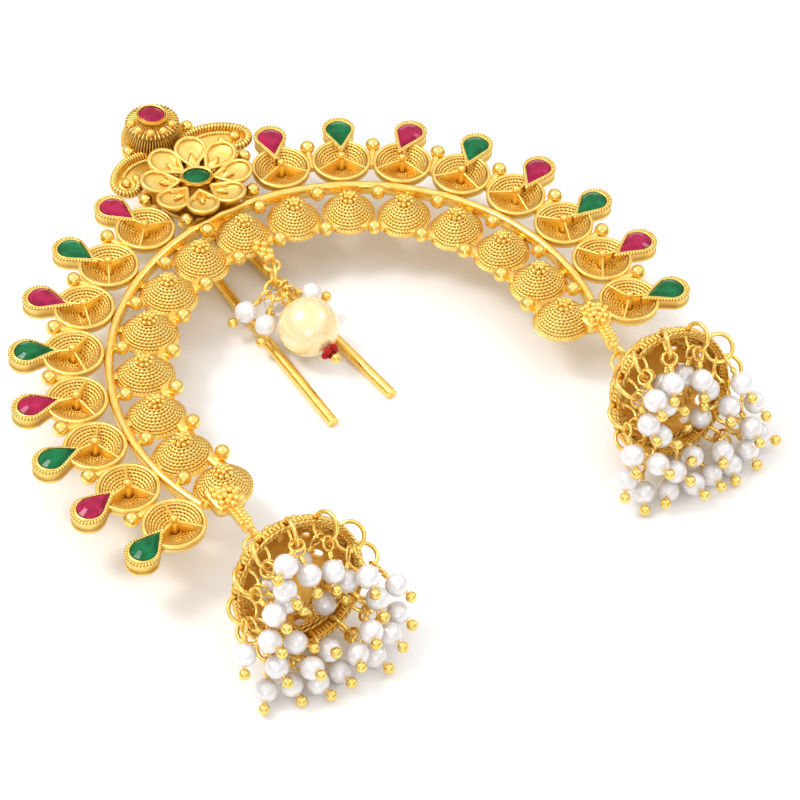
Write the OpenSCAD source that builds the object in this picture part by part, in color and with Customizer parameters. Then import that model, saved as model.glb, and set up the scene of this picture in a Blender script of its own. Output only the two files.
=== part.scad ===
/* [Arc] */
// Radius of the bright rail between the two rows
rail_r = 32; // [31.8:0.1:32.2]
// Angle from the middle of the arc to each end of the rail
rail_half = 109; // [107:1:110]
// Width of the rail
rail_w = 1.1; // [1:0.1:1.3]
// Height of the rail's rounded edge above the reference plane
rail_top = 0.6; // [0.4:0.1:0.8]
// Height of the frame's back below the reference plane
back_z = -1.1; // [-1.3:0.1:-1]
// Height of the reference plane above the table
plane_z = 8; // [8:0.1:8.4]
// Distance of the arc's centre from the middle of the whole piece
arc_y = -7.2; // [-8:0.1:-7]
/* [Domes] */
// Number of domes on each side of the middle one
dome_pairs = 7; // [5:1:7]
// Angle between neighbouring domes
dome_step = 15.49; // [15.4:0.01:15.6]
// Radius of the circle that the domes stand on
dome_ring_r = 27.5; // [27.4:0.1:27.6]
// Radius of a dome's foot
dome_foot_r = 3.5; // [3.3:0.1:3.5]
// Height of a dome's top above the reference plane, without its granules
dome_top = 2.5; // [2.2:0.1:2.7]
// Wall of the hollow domes and of the open cups
sheet = 0.45; // [0.4:0.05:0.5]
// Radius of the small granules
granule_r = 0.48; // [0.4:0.02:0.5]
/* [Cups and stones] */
// Number of cups on each side
cups = 8; // [6:1:8]
// Angle from the middle to the first cup
cup_start = 17.1; // [17:0.1:17.4]
// Angle between neighbouring cups
cup_step = 13; // [12.9:0.05:13.05]
// Radius of the circle that the cups stand on
cup_ring_r = 36.6; // [36.5:0.1:36.7]
// Outer radius of a cup's rim
cup_r = 4; // [3.8:0.05:4]
// Depth of a cup
cup_deep = 2; // [1.8:0.1:2.2]
// Height of a cup's rim above the reference plane
cup_rim_z = 0.45; // [0.3:0.05:0.6]
// Radius from the arc's centre to the middle of a pear stone
stone_ring_r = 41.5; // [41.3:0.1:41.8]
// Length of a pear stone
pear_l = 5; // [4.6:0.1:5.2]
// Width of a pear stone
pear_w = 3.3; // [3:0.1:3.5]
// Width of the metal round a stone
bezel_wall = 0.6; // [0.5:0.05:0.7]
// Height of a bezel's edge above the reference plane
bezel_top = 1.05; // [0.9:0.05:1.2]
// Clearance between a stone and its metal
stone_gap = 0.12; // [0.1:0.01:0.15]
// Turn of each left stone out of the radial line, from the flower outwards
left_twist = [2, -6, -4, 3, 6, 4, 8, 6];
// Turn of each right stone out of the radial line, from the flower outwards
right_twist = [-6, 2, -12, 4, 10, 6, 10, 8];
/* [Balls] */
// Radius of the large round balls
ball_r = 0.98; // [0.9:0.02:1]
// Radius of the balls beside the rail
rail_ball_r = 0.85; // [0.8:0.05:0.9]
/* [Flower and finial] */
// Place of the flower's centre in the arc's frame
flower_at = [-0.4, 38.6];
// Radius of the flower
flower_r = 7.2; // [7:0.1:7.4]
// Number of petals
petals = 8; // [6:1:8]
// Width of a petal
petal_w = 4.1; // [3.8:0.1:4.3]
// Height of the petals' edges above the reference plane
petal_top = 2; // [1.8:0.1:2.2]
// Length and width of the flower's oval stone
flower_stone_size = [3.5, 2.8];
// Place of the finial dome's centre in the arc's frame
finial_at = [-0.2, 50.4];
// Radius of the finial dome's foot
finial_r = 4.4; // [4.2:0.1:4.5]
// Height of the finial's stone setting
finial_top = 4.1; // [3.8:0.1:4.3]
// Length and width of the finial's oval stone
finial_stone_size = [3.5, 3];
// Turn of the finial's stone in its dome
finial_turn = -66; // [-70:1:-60]
// Radius of the rope that edges the scrolls
rope_r = 0.55; // [0.5:0.05:0.6]
/* [Hair pin] */
// Radius of the pin's wire
pin_r = 0.75; // [0.7:0.05:0.8]
// Middle of the pin between its legs
pin_x = -0.9; // [-1:0.1:0]
// Half the distance between the legs at the tips
pin_tip_half = 4.55; // [4.4:0.05:4.7]
// Half the distance between the legs at the bar
pin_bar_half = 3.05; // [3:0.05:3.2]
// Place of the tips along the legs, in the arc's frame
pin_tip_y = -2.2; // [-3:0.1:-2]
// Place of the bar along the legs, in the arc's frame
pin_bar_y = 31.5; // [31:0.1:32]
// Depth of the bar's middle below the reference plane
pin_bar_z = -2.5; // [-2.6:0.1:-2.4]
/* [Bells] */
// Middle of each bell's mouth: across, along, and above the reference plane
bell_at = [[-27.5, -28.5, 1.05], [28.8, -28.4, 1.05]];
// Rise of the bells' axes above the table, in degrees
bell_rise = 20; // [18:1:22]
// Turn of each bell's axis about the upright, in degrees
bell_turn = [-4, -3];
// Outer radius of a bell's rim band
bell_r = 8.4; // [8.2:0.1:8.5]
// Depth of a bell from rim to top
bell_deep = 7; // [6.8:0.1:7.2]
// Wall of the bells
bell_wall = 0.6; // [0.5:0.05:0.7]
// Width of a bell's rim band
band_w = 1.3; // [1.2:0.1:1.4]
// Number of rings in a bell's rim
rim_rings = 14; // [12:1:14]
// Middle radius of a rim ring
rim_ring_r = 1.8; // [1.7:0.05:1.85]
// Middle radius of the lowest rim ring, which has the table close below it
low_ring_r = 1.4; // [1.35:0.05:1.45]
// Radius of a rim ring's wire
rim_ring_wire = 0.28; // [0.26:0.01:0.28]
// Radius of the holes for the rim rings
rim_hole = 0.45; // [0.4:0.01:0.45]
/* [Pearls and pins] */
// Radius of the small pearls
pearl_r = 1.5; // [1.4:0.05:1.5]
// Radius of a pearl's drilled hole
pearl_bore = 0.35; // [0.32:0.01:0.36]
// Middle radius of a head pin's eye
eye_r = 0.89; // [0.85:0.01:0.95]
// Radius of the head pins' wire
pin_wire = 0.19; // [0.18:0.01:0.2]
// Length of the wrapped stem between eye and pearl
stem_l = 1; // [0.9:0.1:1.2]
// Radius of the ball that ends a head pin
end_ball_r = 0.72; // [0.65:0.01:0.75]
// Radius of the large pearl
big_pearl_r = 4.05; // [4:0.05:4.1]
/* [Hidden] */
$fn = 48;
gold = "goldenrod";
// Slack between a head pin's eye and the wire that it hangs on
eye_slack = 0.25;
// Radius of the wrapping round a head pin's stem
wrap_r = 0.42;
// Middle radius and wire of the cast eyes that carry the links
link_eye_r = 0.95;
eye_wire = 0.3;
// Wire of the links between the arc and the bells, and how far the links hang to the left
link_wire = 0.26;
link_shift = 0.6;
// Middle radius and wire of the ring and the long link under the middle
ring_r = 1.45;
ring_wire = 0.25;
// Which rim ring hangs lowest
low_ring = 10;
// Radius and depth of the holes round a bell's rim, and the place of the eye on its top
hole_r = bell_r - bell_wall / 2;
hole_z = -0.6;
bell_eye_z = -bell_deep - 2.1;
// Eyes at the two ends of the arc, and the eye under the middle lobe
end_eye_at = [[-26.8, -17.1, -1.4], [29.1, -17.1, -1.4]];
middle_eye = [0.1, 20.7, -0.7];
// The ring under the middle: its place, and its forward, side and up directions
centre_at = [-1.53, 17.33, -1.53];
centre_fore = unit(centre_at - middle_eye);
centre_up = unit(cross(centre_fore, [1, 0, 0]));
centre_side = cross(centre_up, centre_fore);
bail_r = 1.52;
// The middle's pins, columns: turn round the ring, lift out of its plane, stem, bead radius
centre_rows = [[31, 0, 0.3, big_pearl_r], [-65, -36, stem_l, pearl_r], [-21, -27, stem_l, pearl_r],
    [90, -21, stem_l, pearl_r], [129, -105, stem_l, pearl_r]];
small_rows = [for (k = [1 : 4]) centre_rows[k]];
// How each rim ring of a bell hangs, from the right of the mouth round over its top, columns:
// the ring's lean, then the turn round the ring and the lift out of its plane of its two pins
hang = [
    [
        [-40, -16, -9, 18, -21], [-41, -60, -15, -29, 6], [-21, -109, 13, -60, 0],
        [8, -57, -5, -20, 44], [35, -82, 39, -38, -24], [35, -65, -13, -30, -14],
        [46, -16, -27, 12, 16], [24, -38, 12, 2, 22], [21, 25, 24, 54, -3], [0, -3, 0, 25, 31],
        [-5, 22, 15, -19, 3], [6, 4, -28, 36, -3], [-5, -5, -13, 32, -12], [-45, -80, -35, 36, -1]
    ],
    [
        [-55, -40, 26, 4, 3], [-44, -69, 4, -22, -4], [-12, -97, -6, -63, -2],
        [20, -81, 17, -42, 10], [36, -78, 37, -27, -8], [28, -59, -21, -28, 15],
        [36, -42, -4, 7, 16], [33, -2, -16, 43, 15], [3, -2, 35, 55, 21], [20, 17, -8, 45, -46],
        [13, -23, -45, 21, -12], [17, 34, -45, -9, -49], [-16, 34, -20, 62, 9],
        [-35, -69, -19, 6, -2]
    ]
];
function end_eye(i) = end_eye_at[i];
function bell_eye(i) =
    let (t = bell_turn[i], r = bell_rise)
    bell_at[i] + bell_eye_z * [sin(t) * cos(r), -cos(t) * cos(r), sin(r)];

function unit(v) = v / norm(v);
function at_polar(r, a) = [r * sin(a), r * cos(a)];

// Outline of a pear: a half circle outwards, drawn in to a tip inwards, with the round end along +Y
function pear(l, w, n = 9) =
    let (r = w / 2, c = l / 2 - r, tip = [0, -l / 2], lean = asin(r / (c + l / 2)))
    concat([tip], [for (i = [0 : n])
        let (a = -lean + i * (180 + 2 * lean) / n) [r * cos(a), c + r * sin(a)]]);

function oval(l, w, n = 16) =
    [for (i = [0 : n - 1]) [l / 2 * cos(i * 360 / n), w / 2 * sin(i * 360 / n)]];

// Moves a child from the arc's frame to its place above the table
module place() {
    translate([0, arc_y, plane_z]) children();
}

// Puts a child on a circle about the arc's centre, with its +Y pointing outwards
module on_ring(r, a, z = 0) {
    translate([r * sin(a), r * cos(a), z]) rotate([0, 0, -a]) children();
}

module ball_at(p, r) {
    translate(p) sphere(r = r);
}

// Turns a child's +Z to point along a direction, and puts its origin at a point
module aim(p, d) {
    translate(p) rotate([0, acos(d.z / norm(d)), atan2(d.y, d.x)]) children();
}

// A straight round wire from one point to another
module wire(p, q, r) {
    aim(p, q - p) cylinder(h = norm(q - p), r = r);
}

module rail() {
    rotate([0, 0, 90 - rail_half]) rotate_extrude(angle = 2 * rail_half) {
        translate([rail_r - rail_w / 2, back_z]) square([rail_w, rail_top - rail_w / 2 - back_z]);
        translate([rail_r, rail_top - rail_w / 2]) circle(r = rail_w / 2 + 0.05);
    }
}

// A hollow dome on a flat foot ring
module dome() {
    ball = (dome_foot_r - 0.15) * 1.02;
    ball_z = dome_top - ball;
    foot_h = 0.55;
    rotate_extrude() difference() {
        union() {
            intersection() {
                translate([0, ball_z]) circle(r = ball);
                translate([0, back_z + 0.1]) square([dome_foot_r, dome_top - back_z]);
            }
            translate([0, back_z]) square([dome_foot_r, foot_h]);
        }
        translate([0, ball_z]) circle(r = ball - sheet);
        translate([-ball, back_z - 1]) square([ball + dome_foot_r - 0.6, 1.15]);
        translate([-ball * 2, -ball * 2]) square([ball * 2, ball * 4]);
    }
    granule_cluster(6, 0.85, dome_top - 0.25);
    ball_at([0, 0, dome_top + 0.1], granule_r);
}

module granule_cluster(n, r, z) {
    for (i = [0 : n - 1]) ball_at([r * cos(i * 360 / n), r * sin(i * 360 / n), z], granule_r);
}

module dome_row() {
    for (k = [-dome_pairs : dome_pairs]) on_ring(dome_ring_r, k * dome_step) {
        dome();
        translate([-0.6, dome_foot_r - 0.3, back_z + 0.1]) cube([1.2, 0.9, 0.7]);
    }
    strip_half = dome_pairs * dome_step;
    rotate([0, 0, 90 - strip_half]) rotate_extrude(angle = 2 * strip_half)
        translate([24.4, back_z + 0.06]) square([1.4, 0.75]);
}

// An open bowl in a short upright band with a rolled rim, a post with a ball in the middle and three
// upright spokes
module cup() {
    bowl = (cup_r * cup_r + cup_deep * cup_deep) / (2 * cup_deep);
    bowl_z = cup_rim_z + bowl - cup_deep;
    floor_z = cup_rim_z - cup_deep;
    post_r = 0.42;
    post_ball = 0.55;
    post_top = 1.9;
    rotate_extrude() {
        difference() {
            intersection() {
                translate([0, bowl_z]) circle(r = bowl);
                translate([0, floor_z]) square([cup_r, cup_deep]);
            }
            translate([0, bowl_z]) circle(r = bowl - sheet);
        }
        translate([cup_r - 0.25, cup_rim_z]) circle(r = 0.28);
        translate([cup_r - 0.5, cup_rim_z - 0.9]) square([0.45, 0.85]);
        translate([0, floor_z + 0.2]) square([post_r, post_top - post_ball - floor_z - 0.2]);
        intersection() {
            translate([0, post_top - post_ball]) circle(r = post_ball);
            translate([0, -5]) square([1, 10]);
        }
    }
    spoke = [[0.2, floor_z + 0.25], [2, floor_z + 0.6], [3, floor_z + 1.15], [3.7, cup_rim_z - 0.1],
        [3.7, cup_rim_z + 0.1], [0.2, 1.05]];
    for (a = [90, 210, 330]) rotate([0, 0, a]) rotate([90, 0, 0])
        translate([0, 0, -0.17]) linear_extrude(0.34) polygon(spoke);
}

// The wall of a setting round a pear outline, and the seat that is cut into it for the stone
module pear_bezel() {
    translate([0, 0, back_z]) linear_extrude(bezel_top - back_z)
        polygon(pear(pear_l + 2 * bezel_wall + 0.9, pear_w + 2 * bezel_wall));
}

module pear_seat() {
    translate([0, -0.08, bezel_top - 1.1]) linear_extrude(2)
        polygon(pear(pear_l + 2.8 * stone_gap + 0.1, pear_w + 2 * stone_gap));
}

module cup_row() {
    for (side = [-1, 1]) for (k = [0 : cups - 1]) {
        a = side * (cup_start + k * cup_step);
        twist = side < 0 ? left_twist[k] : right_twist[k];
        difference() {
            union() {
                on_ring(cup_ring_r, a) {
                    cup();
                    translate([-0.5, -cup_r - 0.45, back_z + 0.1]) cube([1, 1.1, 0.8]);
                }
                on_ring(stone_ring_r, a) rotate([0, 0, twist]) pear_bezel();
            }
            on_ring(stone_ring_r, a) rotate([0, 0, twist]) pear_seat();
        }
    }
    for (side = [-1, 1]) for (k = [0 : cups - 2]) {
        a = side * (cup_start + (k + 0.5) * cup_step);
        on_ring(cup_ring_r, a) wire([0, -0.8, -0.15], [0, 2.4, 0.2], 0.5);
    }
}

module ball_rows() {
    for (side = [-1, 1]) {
        for (k = [0 : cups - 2])
            ball_at(concat(at_polar(39.6, side * (cup_start + (k + 0.5) * cup_step)), [0.5]), ball_r);
        for (k = [0 : dome_pairs - 1]) {
            a = side * (k + 0.5) * dome_step;
            ball_at(concat(at_polar(23.9, a), [0.1]), ball_r);
            ball_at(concat(at_polar(30.5, a), [0.3]), rail_ball_r);
            on_ring(30.5, a, 0) translate([-0.35, 0, -0.35]) cube([0.7, 1.3, 0.7]);
            on_ring(23.9, a, 0) translate([-0.5, 0, back_z + 0.1]) cube([1, 1.2, 0.8]);
        }
    }
}

module petal() {
    length = flower_r - 0.9;
    difference() {
        translate([0, 0.9 + length / 2, petal_top - 1.1]) linear_extrude(1.1)
            polygon(pear(length, petal_w));
        translate([0, 1.5 + length / 2, petal_top - 0.5]) linear_extrude(1)
            polygon(pear(length - 1.9, petal_w - 1));
    }
}

module flower() {
    setting = flower_stone_size + [1, 1];
    translate([flower_at.x, flower_at.y, 0]) {
        translate([0, 0, back_z]) cylinder(h = 0.9, r = flower_r - 1.1);
        difference() {
            union() {
                translate([0, 0, back_z + 0.2]) cylinder(h = petal_top - 1.2 - back_z, r = 4.6);
                for (i = [0 : petals - 1]) rotate([0, 0, (i + 0.5) * 360 / petals]) petal();
                rotate([0, 0, -30]) translate([0, 0, 0.2]) linear_extrude(1.7)
                    polygon(oval(setting.x, setting.y));
            }
            rotate([0, 0, -30]) translate([0, 0, 0.9]) linear_extrude(2)
                polygon(oval(flower_stone_size.x + 2 * stone_gap, flower_stone_size.y + 2 * stone_gap));
        }
    }
}

// Part of a rope ring: centre, radius and the two angles it runs between
module rope_arc(centre, r, from, to) {
    translate([centre.x, centre.y, 0]) rotate([0, 0, from])
        rotate_extrude(angle = to - from) translate([r, 0]) circle(r = rope_r);
}

// The right-hand scroll: a long arm that turns into a curl, on a flat web
module scroll() {
    arm_at = [4.9, 41.2];
    arm_r = 6.9;
    turn = 35;
    curl_r = 1.9;
    joint = arm_at + arm_r * [cos(turn), sin(turn)];
    curl_at = joint - curl_r * [cos(turn), sin(turn)];
    curl_end = curl_at + curl_r * [cos(-185), sin(-185)];
    rope_arc(arm_at, arm_r, turn, 106);
    translate([joint.x, joint.y, -rope_r - 0.08])
        cylinder(h = 2 * rope_r + 0.16, r = rope_r + 0.1);
    rope_arc(curl_at, curl_r, -185, turn);
    ball_at([curl_end.x, curl_end.y, 0], rope_r + 0.12);
    ball_at([curl_at.x, curl_at.y, 0.1], 0.8);
    web = [[3, 47], [7.5, 46.6], [10.4, 44.9], [10.2, 42.8], [8.6, 42.1], [6, 41], [3, 41]];
    translate([0, 0, back_z]) linear_extrude(0.9) polygon(web);
}

module flower_balls() {
    for (side = [0, 1]) translate([finial_at.x, 0, 0]) mirror([side, 0, 0])
        ball_at([4.65, 49.1, 0.35], ball_r);
    for (p = [[7.8, 39.8], [5.2, 33.5]]) for (s = [-1, 1]) ball_at([s * p.x, p.y, 0.3], ball_r);
    for (s = [-1, 1]) translate([s * 6.8, 39.6, back_z]) cylinder(h = 0.9, r = 1.4);
    for (s = [-1, 1]) translate([s * 4.9, 34, back_z]) cylinder(h = 0.9, r = 1.2);
}

// The domed finial: a cut ball, a drum with a ring of beads, and an oval setting
module finial() {
    ball_z = -0.8;
    drum_z = 2.2;
    drum_r = 3;
    beads = 14;
    setting = finial_stone_size + [1.2, 1.2];
    translate([finial_at.x, finial_at.y, 0]) {
        rotate_extrude() intersection() {
            translate([0, ball_z]) circle(r = finial_r);
            translate([0, back_z]) square([finial_r + 1, drum_z + 0.4 - back_z]);
        }
        translate([0, 0, 0]) cylinder(h = 3.2, r = drum_r);
        for (i = [0 : beads - 1]) rotate([0, 0, i * 360 / beads]) ball_at([drum_r - 0.1, 0, 2.9], 0.5);
        difference() {
            translate([0, 0, 3]) rotate([0, 0, finial_turn]) linear_extrude(finial_top - 3)
                polygon(oval(setting.x, setting.y));
            translate([0, 0, finial_top - 0.95]) rotate([0, 0, finial_turn]) linear_extrude(2)
                polygon(oval(finial_stone_size.x + 2 * stone_gap, finial_stone_size.y + 2 * stone_gap));
        }
    }
}

// The flat keel that carries the flower and the finial
module keel() {
    translate([-3, rail_r - 0.2, back_z]) cube([6, 16, 0.85]);
}

module barrel() {
    length = 3.2;
    translate([pin_x - length / 2, pin_bar_y, pin_bar_z]) rotate([0, 90, 0]) difference() {
        union() {
            cylinder(h = length, r = pin_r + 0.55);
            translate([pin_bar_z - back_z - 0.3, -0.9, 0]) cube([1.4, 1.8, length]);
        }
        translate([0, 0, -1]) cylinder(h = length + 2, r = pin_r + 0.12);
    }
}

// The lump of granules at one end of the arc, its stalk and its upright eye
module end_lobe(i) {
    eye = end_eye(i);
    block_at = [eye.x + 0.35 * sign(eye.x), -11.4, 0];
    translate([block_at.x - 2.1, block_at.y - 1.4, back_z]) cube([4.2, 4.2, 1.9]);
    for (p = [[-1.2, -0.6], [0, -0.8], [1.2, -0.6], [-0.6, 0.5], [0.7, 0.5], [0, 1.6]])
        ball_at([block_at.x + p.x, block_at.y + p.y, 0.75], 0.62);
    wire([block_at.x, block_at.y - 1, -0.3], [eye.x, eye.y + 1.15, eye.z], 0.8);
    translate(eye) rotate([0, 90, 0]) rotate_extrude() translate([link_eye_r, 0]) circle(r = eye_wire);
}

// The lobe of granules under the middle dome, with its flat eye
module middle_lobe() {
    translate([middle_eye.x - 0.9, middle_eye.y + 0.95, -0.9]) cube([1.8, 3.2, 1.2]);
    for (p = [[-0.6, 1.5], [0.6, 1.5], [0, 2.2], [-0.7, 3], [0.7, 3], [0, 3.7]])
        ball_at([middle_eye.x + p.x, middle_eye.y + p.y, 0.35], 0.55);
    translate(middle_eye) rotate_extrude() translate([link_eye_r, 0]) circle(r = eye_wire);
}

module arc_frame() {
    color(gold) place() {
        rail();
        dome_row();
        cup_row();
        ball_rows();
        keel();
        flower();
        scroll();
        mirror([1, 0, 0]) scroll();
        flower_balls();
        finial();
        barrel();
        end_lobe(0);
        end_lobe(1);
        middle_lobe();
    }
}

// A cut stone on an outline: a flat table above, a girdle, and a flat base below
module cut_stone(outline, crown, pavilion, table = 0.62, base = 0.5) {
    n = len(outline);
    girdle = 0.25;
    rows = [[base, -pavilion], [1, -girdle / 2], [1, girdle / 2], [table, crown]];
    points = [for (row = rows) for (p = outline) [p.x * row[0], p.y * row[0], row[1]]];
    sides = [for (j = [0 : 2]) for (i = [0 : n - 1])
        let (a = j * n + i, b = j * n + (i + 1) % n) [a, a + n, b + n, b]];
    below = [for (i = [0 : n - 1]) i];
    above = [for (i = [n - 1 : -1 : 0]) 3 * n + i];
    polyhedron(points, concat(sides, [below], [above]), convexity = 2);
}

module pear_stone(side, k) {
    twist = side < 0 ? left_twist[k] : right_twist[k];
    red = (k % 2 == 0) == (side != 0);
    color(red ? "crimson" : "seagreen") place()
        on_ring(stone_ring_r, side * (cup_start + k * cup_step), bezel_top - 0.25)
        rotate([0, 0, twist]) cut_stone(pear(pear_l, pear_w), 0.55, 0.65);
}

module flower_stone() {
    color("seagreen") place() translate([flower_at.x, flower_at.y, 1.65]) rotate([0, 0, -30])
        cut_stone(oval(flower_stone_size.x, flower_stone_size.y), 0.5, 0.55);
}

module finial_stone() {
    color("crimson") place() translate([finial_at.x, finial_at.y, finial_top - 0.25])
        rotate([0, 0, finial_turn]) cut_stone(oval(finial_stone_size.x, finial_stone_size.y), 0.5, 0.55);
}

// The pin: a bar through the barrel, two bends down and two bends forward into the straight legs
module hair_pin() {
    leg_z = pin_r - plane_z;
    bend = 1.4;
    drawn_r = pin_r - 0.05;
    lap = 0.28;
    half = pin_bar_half - bend;
    splay = atan((pin_tip_half - pin_bar_half) / (pin_bar_y - pin_tip_y));
    color(gold) place() {
        wire([pin_x - half - lap, pin_bar_y, pin_bar_z],
            [pin_x + half + lap, pin_bar_y, pin_bar_z], pin_r);
        for (s = [-1, 1]) {
            side_x = pin_x + s * pin_bar_half;
            translate([pin_x + s * half, pin_bar_y, pin_bar_z - bend]) rotate([90, 0, 0])
                rotate([0, 0, s > 0 ? 0 : 90])
                rotate_extrude(angle = 90) translate([bend, 0]) circle(r = drawn_r);
            wire([side_x, pin_bar_y, pin_bar_z - bend + lap],
                [side_x, pin_bar_y, leg_z + bend - lap], pin_r);
            translate([side_x, pin_bar_y, leg_z + bend]) rotate([0, 0, s * splay])
                translate([0, -bend, 0])
                rotate([90, 0, 90]) rotate([0, 0, -90])
                rotate_extrude(angle = 90) translate([bend, 0]) circle(r = drawn_r);
            start = bend - lap;
            wire([side_x + s * start * sin(splay), pin_bar_y - start * cos(splay), leg_z],
                [pin_x + s * pin_tip_half, pin_tip_y, leg_z], pin_r);
        }
    }
}

// A closed round link in any plane, given by its centre and the direction square to it
module link(centre, axis, r, thick) {
    aim(centre, axis) rotate_extrude() translate([r, 0]) circle(r = thick);
}

// A looped head pin: the eye round the carrying wire, the wrapped stem, the shank and the end ball
module head_pin(hook, way, axis, stem, bead_r, below = 0.08) {
    eye_at = hook + eye_slack * way;
    shank = hook + (eye_slack + eye_r) * way;
    tail = stem + 2 * bead_r + below + end_ball_r;
    link(eye_at, axis, eye_r, pin_wire);
    aim(shank, way) rotate_extrude() {
        square([pin_wire - 0.02, tail]);
        translate([0, 0.1]) square([wrap_r, stem - 0.2]);
        intersection() {
            translate([0, tail]) circle(r = end_ball_r);
            translate([0, tail - end_ball_r]) square([end_ball_r, 2 * end_ball_r]);
        }
    }
}

module drilled_pearl(hook, way, stem, bead_r) {
    start = eye_slack + eye_r + stem;
    aim(hook + (start + bead_r) * way, way) rotate_extrude() difference() {
        circle(r = bead_r);
        translate([-2 * bead_r, -2 * bead_r]) square([2 * bead_r + pearl_bore, 4 * bead_r]);
    }
}

// The place and direction of a pin on a ring: the ring's centre, its forward, side and up directions,
// its radius, and the pin's turn round the ring and lift out of its plane
function pin_hook(c, f, s, r, turn) = c + r * (cos(turn) * f + sin(turn) * s);
function pin_way(f, s, u, turn, lift) = cos(lift) * (cos(turn) * f + sin(turn) * s) + sin(lift) * u;
function pin_axis(f, s, turn) = cos(turn) * s - sin(turn) * f;

module bell_place(i) {
    place() translate(bell_at[i]) rotate([0, 0, bell_turn[i]]) rotate([90 - bell_rise, 0, 0]) children();
}

// One of a bell's rim rings: its hole, its forward, side and up directions, and its centre
function hole_angle(k) = (k + 0.5) * 360 / rim_rings;
function hole_at(k) = [hole_r * cos(hole_angle(k)), hole_r * sin(hole_angle(k)), hole_z];
function ring_side(k) = [cos(hole_angle(k)), sin(hole_angle(k)), 0];
function ring_fore(k, lean) =
    [-sin(hole_angle(k)) * sin(lean), cos(hole_angle(k)) * sin(lean), cos(lean)];
function rim_r(k) = k == low_ring ? low_ring_r : rim_ring_r;
function ring_centre(k, lean) = hole_at(k) + rim_r(k) * ring_fore(k, lean);

// A pierced bell with its mouth at the origin and its top along -Z
module bell(i) {
    steps = 9;
    body_r = bell_r - 0.35;
    angles = [for (j = [0 : steps]) 9.2 + j * 79 / steps];
    outer = [for (a = angles) [body_r * cos(a), -bell_deep * sin(a)]];
    inner = [for (j = [steps : -1 : 0]) [(body_r - bell_wall) * cos(angles[j]),
        -(bell_deep - bell_wall) * sin(angles[j]) - (j == 0 ? 0.1 : 0)]];
    color(gold) bell_place(i) difference() {
        union() {
            rotate_extrude() {
                polygon(concat(outer, inner));
                translate([bell_r - bell_wall, -band_w]) square([bell_wall, band_w - bell_wall / 2]);
                translate([hole_r, -bell_wall / 2]) circle(r = bell_wall / 2 + 0.02);
                translate([bell_r - 0.25, -band_w - 0.05]) circle(r = 0.27);
                translate([6.75, -3.9]) circle(r = 0.28);
                translate([0, -bell_deep - 0.25]) square([1.5, 0.9]);
                translate([0, bell_eye_z + link_eye_r]) square([0.6, 1.6]);
            }
            for (k = [0 : rim_rings - 1]) rotate([0, 0, k * 360 / rim_rings])
                ball_at([7.75, 0, -2.05], 0.42);
            translate([0, 0, bell_eye_z]) rotate([0, 90, 0])
                rotate_extrude() translate([link_eye_r, 0]) circle(r = eye_wire);
        }
        for (k = [0 : rim_rings - 1]) rotate([0, 0, hole_angle(k)]) {
            translate([5, 0, hole_z]) rotate([0, 90, 0]) cylinder(h = 5, r = rim_hole);
            translate([4, 0, -2.9]) rotate([0, 90, 0]) cylinder(h = 5, r = 0.75);
        }
        for (k = [0 : 8]) rotate([0, 0, k * 40]) translate([2, 0, -5.1]) rotate([0, 90, 0])
            cylinder(h = 6, r = 0.65);
    }
}

module rim_rings_of(i) {
    color(gold) bell_place(i) for (k = [0 : rim_rings - 1]) let (f = ring_fore(k, hang[i][k][0]))
        link(ring_centre(k, hang[i][k][0]), cross(f, ring_side(k)), rim_r(k), rim_ring_wire);
}

// The pins or the pearls of one bell, two on each rim ring
module hung(i, part) {
    bell_place(i) for (k = [0 : rim_rings - 1]) for (j = [0, 1]) {
        row = hang[i][k];
        f = ring_fore(k, row[0]);
        s = ring_side(k);
        hook = pin_hook(ring_centre(k, row[0]), f, s, rim_r(k), row[1 + 2 * j]);
        way = pin_way(f, s, cross(f, s), row[1 + 2 * j], row[2 + 2 * j]);
        if (part == "pins") head_pin(hook, way, pin_axis(f, s, row[1 + 2 * j]), stem_l, pearl_r);
        else drilled_pearl(hook, way, stem_l, pearl_r);
    }
}

module bell_link(i) {
    from = end_eye(i);
    to = bell_eye(i);
    half = (to - from) / 2;
    centre = (from + to) / 2 - [link_shift, 0, 0];
    color(gold) place() link(centre, cross(half, [1, 0, 0]), norm([norm(half), link_shift]), link_wire);
}

module centre_bail() {
    color(gold) place() link(middle_eye + bail_r * centre_fore, centre_side, bail_r, ring_wire);
}

module centre_ring() {
    color(gold) place() link(centre_at, centre_up, ring_r, ring_wire);
}

// The pins or the pearls under the middle: a row gives turn, lift, stem and bead radius
module centre_hung(part, rows) {
    place() for (row = rows) {
        hook = pin_hook(centre_at, centre_fore, centre_side, ring_r, row[0]);
        way = pin_way(centre_fore, centre_side, centre_up, row[0], row[1]);
        below = row[3] > pearl_r ? 1 : 0.08;
        axis = pin_axis(centre_fore, centre_side, row[0]);
        if (part == "pins") head_pin(hook, way, axis, row[2], row[3], below);
        else drilled_pearl(hook, way, row[2], row[3]);
    }
}

// A ring of five small beads on the large pearl's pin
module red_beads() {
    row = centre_rows[0];
    way = pin_way(centre_fore, centre_side, centre_up, row[0], row[1]);
    hook = pin_hook(centre_at, centre_fore, centre_side, ring_r, row[0]);
    at = hook + (eye_slack + eye_r + row[2] + 2 * row[3] + 0.55) * way;
    color("crimson") place() {
        link(at, way, 0.75, 0.38);
        for (k = [0 : 4]) aim(at, way) rotate([0, 0, k * 72]) ball_at([0.8, 0, 0], 0.5);
    }
}

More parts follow.
